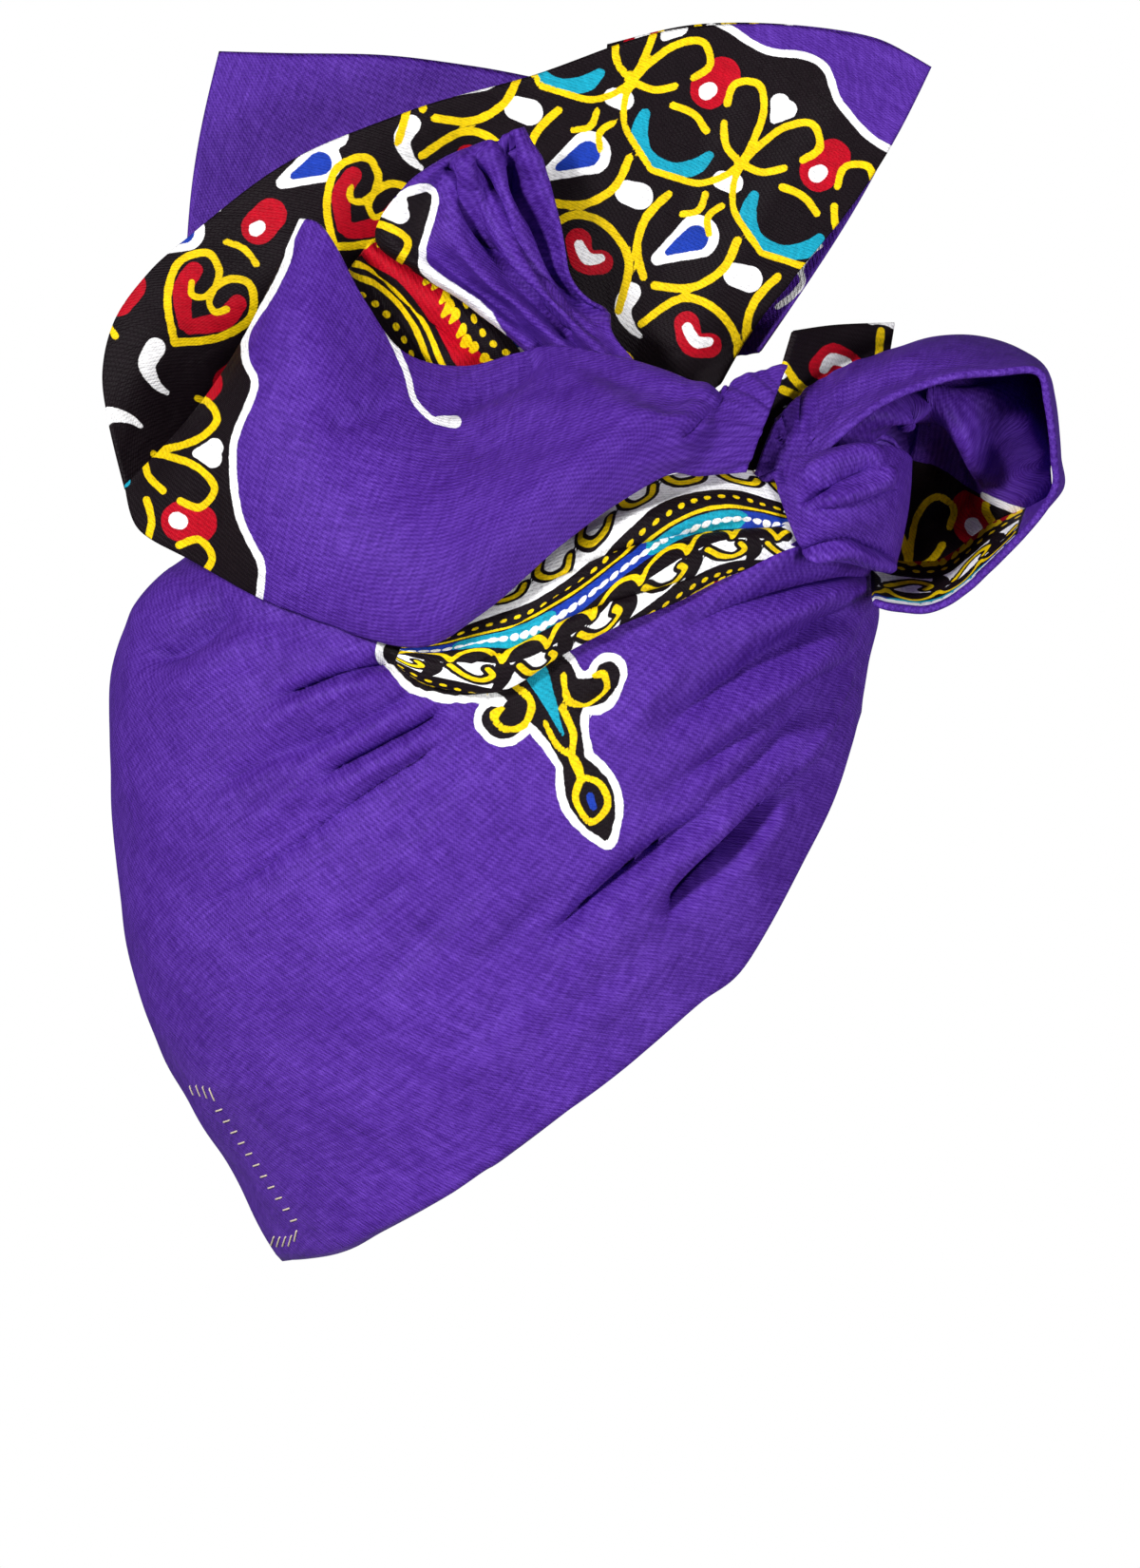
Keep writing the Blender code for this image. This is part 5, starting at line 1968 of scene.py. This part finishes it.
@dataclass
class CrownFan(Wrapped):
    """The tail that sweeps over the crown, printed up to its wavy edge.

    Attributes:
        print_edge: the wavy edge of the print, from the top down.
        print_frame: where the field print lies.
    """

    piece: str = "fan_cloth"
    node: str = "crown_fan"
    sections: tuple[Section, ...] = (
        Section(-78, -0.5, -27, -95, -3.5, -33, 0),
        Section(-70.5, 7, -18, -99.5, 14.5, -29, -2, 0.6),
        Section(-63, 15, -10, -101, 28, -26, -6, 0.65),
        Section(-53.5, 17.5, -6, -98, 41, -24, -9, 0.65),
        Section(-45.5, 17.5, -4, -90.5, 52, -22, -10, 0.65),
        Section(-35.5, 14, -3, -80.5, 61.5, -20, -10, 0.65),
        Section(-20.5, 7.5, -3, -53.5, 82, -18, -10, 0.65),
        Section(-5.5, 4.5, -3, -21, 96, -17, -9, 0.6),
        Section(11.5, 4.5, -3, 11.5, 105.5, -15, -7, 0.6),
        Section(31, 5, -3, 43.5, 116.5, -14, -4),
        Section(46, 11, -5, 71, 119, -14, -3),
        Section(55.5, 19, -8, 96, 116, -16, -2),
        Section(60.5, 26, -9, 107, 112.5, -17, -1, 0.5, 1, 0),
        Section(63.5, 36.5, -9, 116, 107.5, -18, -1, 0.5, 6, 0),
    )
    grid: tuple[int, int] = (310, 155)
    thickness: float = 1.8
    seat_axis: int = 2
    flat: tuple[float, float] = (0.22, 0.085)
    weave_turn: float = 40.0
    creases: tuple[Fold, ...] = (
        Fold(((-76, 6), (-74, 24), (-66, 40), (-50, 56), (-26, 70)), 3.2, 8, 0.2, 0.4),
        Fold(((-60, 14), (-52, 28), (-38, 42)), -2.4, 4, 0.2, 0.4),
        Fold(((-12, 10), (-10, 40), (-16, 86)), -1.6, 7, 0.1, 0.3),
        Fold(((12, 10), (22, 46), (26, 100)), 1.8, 8, 0.1, 0.3),
        Fold(((30, 8), (42, 44), (54, 84), (66, 114)), -1.8, 6, 0.1, 0.3),
        Fold(((40, 10), (60, 48), (84, 84), (104, 104)), 1.8, 6, 0.2, 0.2),
    )
    print_edge: Line = (
        (55, 121),
        (63.5, 116.5),
        (72.5, 111),
        (83, 109.5),
        (88.5, 106),
        (92, 97),
        (99.5, 88.5),
        (106, 84.5),
        (116, 78),
    )
    print_frame: PrintFrame = PrintFrame(86.0, 101.0, 143.0)

    def printed(self, surface: Surface) -> Array:
        """The field print below its wavy edge."""
        x, z = surface.side_view()
        return lay_field(x, z, self.print_edge[::-1], self.print_frame)


@dataclass
class FanBackLayer(Wrapped):
    """The fan's second layer, folded behind its right end.

    Attributes:
        print_edge: the lower edge of the print.
        hem_loop: the thin white line on its hem.
        print_frame: where the field print lies.
    """

    piece: str = "fan_back_cloth"
    node: str = "fan_back_layer"
    sections: tuple[Section, ...] = (
        Section(21, 5, 5, 31, 113, -5, 2),
        Section(46.5, 14, 4, 53.5, 118, -7, 2),
        Section(62.5, 29.5, 2, 78.5, 118, -8, 2),
        Section(68, 31.5, 0, 101, 114.5, -10, 2),
        Section(71, 32, -2, 115, 107, -12, 1, 0.5, 3, 0),
    )
    grid: tuple[int, int] = (90, 100)
    thickness: float = 1.4
    seat_axis: int = 1
    flat: tuple[float, float] = (0.09, 0.08)
    rests_on: tuple[str, ...] = ("fan_cloth",)
    weave_turn: float = 40.0
    print_edge: Line = ((82, 125), (78, 117), (66, 104), (40, 96), (10, 92))
    hem_loop: Line = ((87, 60), (84.5, 58), (82, 54), (82.6, 50.6), (80, 47), (76, 44))
    print_frame: PrintFrame = PrintFrame(60.0, 104.0, 25.0)

    def printed(self, surface: Surface) -> Array:
        """A strip of the field print along the top, and a white loop on the hem.

        Args:
            surface: the sheet's middle surface.

        Returns:
            The ink distances of the sheet.
        """
        x, z = surface.side_view()
        inks = lay_field(x, z, self.print_edge[::-1], self.print_frame)
        lay_stroke(inks, x, z, drawn(Ink.WHITE, THIN_LINE, *self.hem_loop))
        return inks


@dataclass
class BackFlap(Wrapped):
    """The squared end of the other tail, standing behind the fan."""

    piece: str = "flap_cloth"
    node: str = "back_flap"
    sections: tuple[Section, ...] = (
        Section(-80.5, 51.5, 14, -71.5, 113, 16, 0, 0.5, -2, 0),
        Section(-65.5, 20.5, 12, -54, 112.5, 16, -2),
        Section(-39, 4.5, 10, -29, 112, 16, -3),
        Section(-11.5, 4, 9, -4, 109, 14, -3),
        Section(11, 4, 8, 18.5, 104.5, 12, -2),
    )
    grid: tuple[int, int] = (60, 66)
    thickness: float = 1.8
    seat_axis: int = 2
    flat: tuple[float, float] = (0.11, 0.09)
    weave_turn: float = 5.0
    unevenness: float = 0.6


@dataclass
class PleatedFold(Wrapped):
    """The gathered fold between lobe and fan, from its tucked end to its free top.

    Attributes:
        pleats: how many pleats cross it.
        pleat_height: how high they stand.
        top_roll: how high the roll along its top stands.
        top_start: where that roll starts, as a share of the length.
        side_roll: how high the roll along its right side stands.
        side_start: where that one starts, as a share of the width.
        print_edge: the edge of the print's corner.
        print_frame: where the field print lies.
    """

    piece: str = "pleated_cloth"
    node: str = "pleated_fold"
    sections: tuple[Section, ...] = (
        Section(17, 6, -24, 37.5, 6, -24, 0),
        Section(13, 27, -32, 41, 23, -33, -1),
        Section(-4, 43, -33, 31, 37, -33, -3),
        Section(-18.5, 52, -32, 22, 49, -31, -4),
        Section(-29.5, 61, -31, 19, 64, -29, -4),
        Section(-22, 74, -31, 14, 79.5, -28, -4),
        Section(-11, 82, -31, 9, 90, -28, -3),
    )
    grid: tuple[int, int] = (150, 110)
    thickness: float = 1.2
    seat_axis: int = 1
    flat: tuple[float, float] = (0.10, 0.058)
    held: Held = Held.GATHERED
    rests_on: tuple[str, ...] = ("lobe_cloth",)
    weave_turn: float = 15.0
    pleats: int = 3
    pleat_height: float = 3.1
    top_roll: float = 3.0
    top_start: float = 0.8
    side_roll: float = 2.6
    side_start: float = 0.82
    print_frame: PrintFrame = PrintFrame(-14.0, 66.0, 100.0)
    creases: tuple[Fold, ...] = (
        Fold(
            ((-11.5, 81.5), (-6.5, 69.5), (2.5, 56), (14.5, 43), (23, 33)),
            -6, 1.1, 0.05, 0.1, Crease.SHARP,
        ),
        Fold(
            ((3, 84.5), (6.5, 75.5), (12.5, 66), (17, 54), (24.5, 43.5), (38.5, 33)),
            -8, 1.2, 0.05, 0.1, Crease.SHARP,
        ),
        Fold(((4, 88), (6, 80), (10, 72), (15, 62), (20, 50)), -9, 2, 0.02, 0.5),
        Fold(((-4, 84), (1, 73), (8, 60), (17, 47), (30, 33)), -4, 1.1, 0.1, 0.2, Crease.SHARP),
        Fold(((-8, 84), (-2.5, 72), (5, 58), (16, 44)), 1.6, 1.8, 0.1, 0.3),
        Fold(((10, 86), (14, 76), (20, 62), (28, 48), (38, 36)), 1.6, 2, 0.1, 0.2),
        Fold(((-15, 62), (-4, 50), (10, 38)), -1.4, 2.4, 0.3, 0.2),
    )
    print_edge: Line = (
        (-22.5, 72), (-16.5, 74.5), (-13.5, 71), (-15.5, 63), (-17.5, 57.5), (-15.5, 52), (-2, 42.5), (4, 36),
    )

    def form(self, points: Array, u: Array, v: Array) -> Array:
        """Gather the cloth into pleats that run out at both ends.

        Args:
            points: the plain loft.
            u: how far along each row is.
            v: how far across each column is.

        Returns:
            The changed grid.
        """
        points = points.copy()
        points[..., 1] -= self.pleat_height * np.sin(2 * math.pi * self.pleats * v) * np.sin(math.pi * u)
        top = np.clip((u - self.top_start) / (1 - self.top_start), 0, 1)
        side = np.clip((v - self.side_start) / (1 - self.side_start), 0, 1)
        points[..., 1] -= self.top_roll * np.sin(math.pi * top)
        points[..., 1] -= self.side_roll * np.sin(math.pi * side) * np.sqrt(u)
        return points

    def printed(self, surface: Surface) -> Array:
        """A corner of the field print at the fold's left."""
        x, z = surface.side_view()
        return lay_field(x, z, self.print_edge[::-1], self.print_frame)


@dataclass
class InnerFolds(Wrapped):
    """The rolled folds of print that show between lobe and pleats.

    Attributes:
        roll_count: how many rolls it has across.
        roll_height: how high they stand.
        band_start: how far across the bands its middle lies.
        swing: how far the bands sway.
        swing_length: how fast they do, along the cloth.
    """

    piece: str = "inner_cloth"
    node: str = "inner_folds"
    sections: tuple[Section, ...] = (
        Section(-36.5, 53, -25, -30.5, 61, -25, 0),
        Section(-30.5, 40, -25, -15, 50, -25, 0),
        Section(-18.5, 28.5, -25, -1, 42, -25, 0),
        Section(0, 17.5, -24, 12, 26.5, -23, 0),
        Section(8, 7, -21, 22, 8.5, -18, 0),
    )
    grid: tuple[int, int] = (120, 70)
    thickness: float = 1.2
    seat_axis: int = 1
    flat: tuple[float, float] = (0.08, 0.021)
    held: Held = Held.GATHERED
    rests_on: tuple[str, ...] = ("lobe_cloth",)
    roll_count: int = 2
    roll_height: float = 2.4
    band_start: float = 66.0
    swing: float = 5.0
    swing_length: float = 9.0

    def form(self, points: Array, u: Array, v: Array) -> Array:
        """Roll the cloth lengthways.

        Args:
            points: the plain loft.
            u: how far along each row is.
            v: how far across each column is.

        Returns:
            The changed grid.
        """
        points = points.copy()
        points[..., 1] -= self.roll_height * rolls(v, self.roll_count)
        return points

    def printed(self, surface: Surface) -> Array:
        """The red and yellow bands, running along the rolls."""
        length, width = surface.arc_lengths()
        sway = self.swing * np.sin(length / self.swing_length)
        return lay_bands(length, self.band_start - width + sway)


@dataclass
class NapeStitches:
    """Hand stitches that close the wrap at the nape, in pale thread.

    Attributes:
        radius: half the thread's thickness.
        seam: ends of the line of running stitches, in the side view.
        stitch: how far one stitch runs forward and up.
        pitch: distance from one stitch to the next.
        tacks: the slanting stitches at both ends of the seam, as start and end.
        shares: where along a stitch its thread is laid, the first and last in the cloth.
        proud: how far the thread's middle stands out of the cloth, in its radii.
        sunk: how far it runs below the cloth at both ends, in its radii.
        ray_start: where the search for the cloth starts on the near side, in metres.
        sides: corners of the thread's section.
    """

    radius: float = 0.22
    seam: Line = ((-71, -166.5), (-49.5, -198))
    stitch: Point = (1.4, 0.5)
    pitch: float = 3.4
    tacks: tuple[tuple[Point, Point], ...] = (
        ((-78, -160.2), (-77.2, -162.4)),
        ((-76.2, -160), (-75.2, -162.6)),
        ((-74.4, -160.2), (-73.4, -163)),
        ((-72.6, -160.6), (-71.4, -163.6)),
        ((-57, -202), (-56.2, -199.8)),
        ((-55.4, -202.2), (-54.6, -199.8)),
        ((-53.8, -202), (-53, -199.6)),
        ((-52.2, -201.8), (-51.4, -199.2)),
        ((-50.6, -200.4), (-50, -197.8)),
    )
    shares: tuple[float, ...] = (-0.12, 0.0, 0.25, 0.5, 0.75, 1.0, 1.12)
    proud: float = 0.9
    sunk: float = 1.4
    ray_start: float = -0.5
    sides: int = 6

    def stretches(self) -> list[tuple[Point, Point]]:
        """Start and end of every stitch in the side view.

        Returns:
            The two ends of each stitch.
        """
        (x0, z0), (x1, z1) = self.seam
        count = int(math.hypot(x1 - x0, z1 - z0) / self.pitch)
        found = list(self.tacks)
        for i in range(count):
            x, z = x0 + (x1 - x0) * i / count, z0 + (z1 - z0) * i / count
            found.append(((x, z), (x + self.stitch[0], z + self.stitch[1])))
        return found

    def build(self, cap: bpy.types.Object, finish: bpy.types.Material) -> bpy.types.Object:
        """Lay each stitch on the cap's near side.

        Args:
            cap: the cap's cloth.
            finish: the thread's material.

        Returns:
            All stitches as one piece.
        """
        tree = BVHTree.FromObject(cap, bpy.context.evaluated_depsgraph_get())
        vertices, faces = [], []
        for start, end in self.stretches():
            path = []
            for share in self.shares:
                x, z = (start[i] + (end[i] - start[i]) * share for i in (0, 1))
                origin = Vector((x * MM, self.ray_start, z * MM))
                place, normal, _, _ = tree.ray_cast(origin, Vector((0, 1, 0)))
                if place is None:
                    break
                proud = self.radius * (self.proud if 0 <= share <= 1 else -self.sunk)
                path.append((place + normal * proud * MM, normal))
            if len(path) == len(self.shares):
                self.add_tube(vertices, faces, path)
        mesh = bpy.data.meshes.new("nape_stitches")
        mesh.from_pydata(vertices, [], faces)
        mesh.shade_smooth()
        obj = bpy.data.objects.new("nape_stitches", mesh)
        bpy.context.scene.collection.objects.link(obj)
        obj.data.materials.append(finish)
        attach(obj, BODY)
        LOG.info("%s: %d faces", obj.name, len(mesh.polygons))
        return obj

    def add_tube(
        self, vertices: list[tuple], faces: list[tuple[int, ...]], path: list[tuple[Vector, Vector]]
    ) -> None:
        """Add a round thread along a path to the lists of a mesh.

        Args:
            vertices: the mesh's vertices, added to.
            faces: the mesh's faces, added to.
            path: places with the cloth's normal at each.
        """
        sides = self.sides
        first = len(vertices)
        along = (path[-1][0] - path[0][0]).normalized()
        for place, normal in path:
            across = along.cross(normal).normalized()
            for i in range(sides):
                angle = 2 * math.pi * i / sides
                spoke = across * math.cos(angle) + normal * math.sin(angle)
                vertices.append(tuple(place + spoke * self.radius * MM))
        for ring in range(len(path) - 1):
            for i in range(sides):
                a, b = first + ring * sides + i, first + ring * sides + (i + 1) % sides
                faces.append((a, b, b + sides, a + sides))
        faces.append(tuple(first + i for i in reversed(range(sides))))
        faces.append(tuple(first + (len(path) - 1) * sides + i for i in range(sides)))


class Lamp(NamedTuple):
    """A soft square lamp: its place and side in metres, its power in watts, and if it glints."""

    name: str
    place: tuple[float, float, float]
    size: float
    power: float
    glints: bool = True


@dataclass
class Studio:
    """The pale floor, the soft lights and the camera at the photograph's angle.

    Attributes:
        distance: from the camera to the wrap's middle plane.
        centre: what the camera looks at, forward and up.
        view_height: height of the picture at the wrap.
        sensor: the camera's sensor width.
        floor_z: height of the floor.
        floor_radius: radius of the floor's round sheet.
        floor_corners: corners of its outline.
        floor_colour: the paper's colour.
        room_light: how much light the room sends from all sides. The camera sees it white.
        lamps: the lamps. The last one lights the far side, for views from behind.
        lamp_aim: what the lamps face, in metres.
        far_clip: how far the camera sees, in metres.
    """

    distance: float = 4000.0
    centre: Point = (21.25, -81.25)
    view_height: float = 412.5
    sensor: float = 36.0
    floor_z: float = -400.0
    floor_radius: float = 560.0
    room_light: float = 0.09
    floor_corners: int = 96
    floor_colour: str = "dedede"
    lamps: tuple[Lamp, ...] = (
        Lamp("key", (-1.45, -2.15, 0.8), 0.4, 74.0),
        Lamp("side", (-2.35, -0.85, 0.35), 0.8, 10.0),
        Lamp("fill", (1.7, -1.8, -0.3), 0.7, 42.0),
        Lamp("far side", (0.5, 2.3, 0.5), 1.2, 40.0, glints=False),
    )
    lamp_aim: tuple[float, float, float] = (0.02, -0.03, -0.03)
    far_clip: float = 50.0

    def add_camera(self) -> None:
        """Stand the camera at the near side, level with the wrap's middle."""
        data = bpy.data.cameras.new("camera")
        data.sensor_width = self.sensor
        data.lens = self.sensor * self.distance / self.view_height
        data.clip_end = self.far_clip
        camera = bpy.data.objects.new("camera", data)
        camera.location = (self.centre[0] * MM, -self.distance * MM, self.centre[1] * MM)
        camera.rotation_euler = (math.radians(90), 0, 0)
        bpy.context.scene.collection.objects.link(camera)
        bpy.context.scene.camera = camera

    def add_light(self, lamp: Lamp) -> None:
        """Add a soft square light that faces the wrap.

        Args:
            lamp: its name, place, size and power.
        """
        data = bpy.data.lights.new(lamp.name, "AREA")
        data.size, data.energy = lamp.size, lamp.power
        light = bpy.data.objects.new(lamp.name, data)
        light.location = lamp.place
        light.visible_glossy = lamp.glints
        aim = Vector(self.lamp_aim) - Vector(lamp.place)
        light.rotation_euler = aim.to_track_quat("-Z", "Y").to_euler()
        bpy.context.scene.collection.objects.link(light)

    def add_floor(self) -> None:
        """Lay a round sheet of white paper under the wrap."""
        mesh = bpy.data.meshes.new("floor")
        radius, corners = self.floor_radius * MM, self.floor_corners
        angles = [2 * math.pi * i / corners for i in range(corners)]
        ring = [(radius * math.cos(a), radius * math.sin(a), self.floor_z * MM) for a in angles]
        mesh.from_pydata(ring, [], [tuple(range(corners))])
        floor = bpy.data.objects.new("floor", mesh)
        bpy.context.scene.collection.objects.link(floor)
        material = bpy.data.materials.new("matt_white_paper")
        material.use_nodes = True
        shader = material.node_tree.nodes["Principled BSDF"]
        shader.inputs["Base Color"].default_value = linear(self.floor_colour)
        shader.inputs["Roughness"].default_value = 0.9
        mesh.materials.append(material)

    def build(self) -> None:
        """Set up the whole studio."""
        self.add_camera()
        self.add_floor()
        world = bpy.data.worlds.new("white_room")
        world.use_nodes = True
        tree = world.node_tree
        seen = add_node(tree, "ShaderNodeLightPath").outputs["Is Camera Ray"]
        room = {"Value": seen, "To Min": self.room_light, "To Max": 1.0}
        strength = add_node(tree, "ShaderNodeMapRange", room).outputs[0]
        tree.links.new(strength, tree.nodes["Background"].inputs["Strength"])
        tree.nodes["Background"].inputs["Color"].default_value = linear("ffffff")
        bpy.context.scene.world = world
        for lamp in self.lamps:
            self.add_light(lamp)
        scene = bpy.context.scene
        scene.view_settings.view_transform = "Standard"
        scene.view_settings.look = "None"


def main() -> None:
    """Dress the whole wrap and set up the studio."""
    logging.basicConfig(level=logging.INFO, format="%(name)s %(message)s")
    Studio().build()
    plain, print_cloth = DyedCotton().make(), WaxPrintedCotton().make()
    cap = HeadCap().build(print_cloth)
    for stretch in (
        TwistRoll(),
        SideLobe(),
        FrontKnot(),
        BowLoop(),
        BowBackWall(),
        EndTab(),
        CrownFan(),
        FanBackLayer(),
        BackFlap(),
        PleatedFold(),
        InnerFolds(),
    ):
        stretch.build(plain, print_cloth)
    NapeStitches().build(cap, SewingThread().make())


if __name__ == "__main__":
    main()
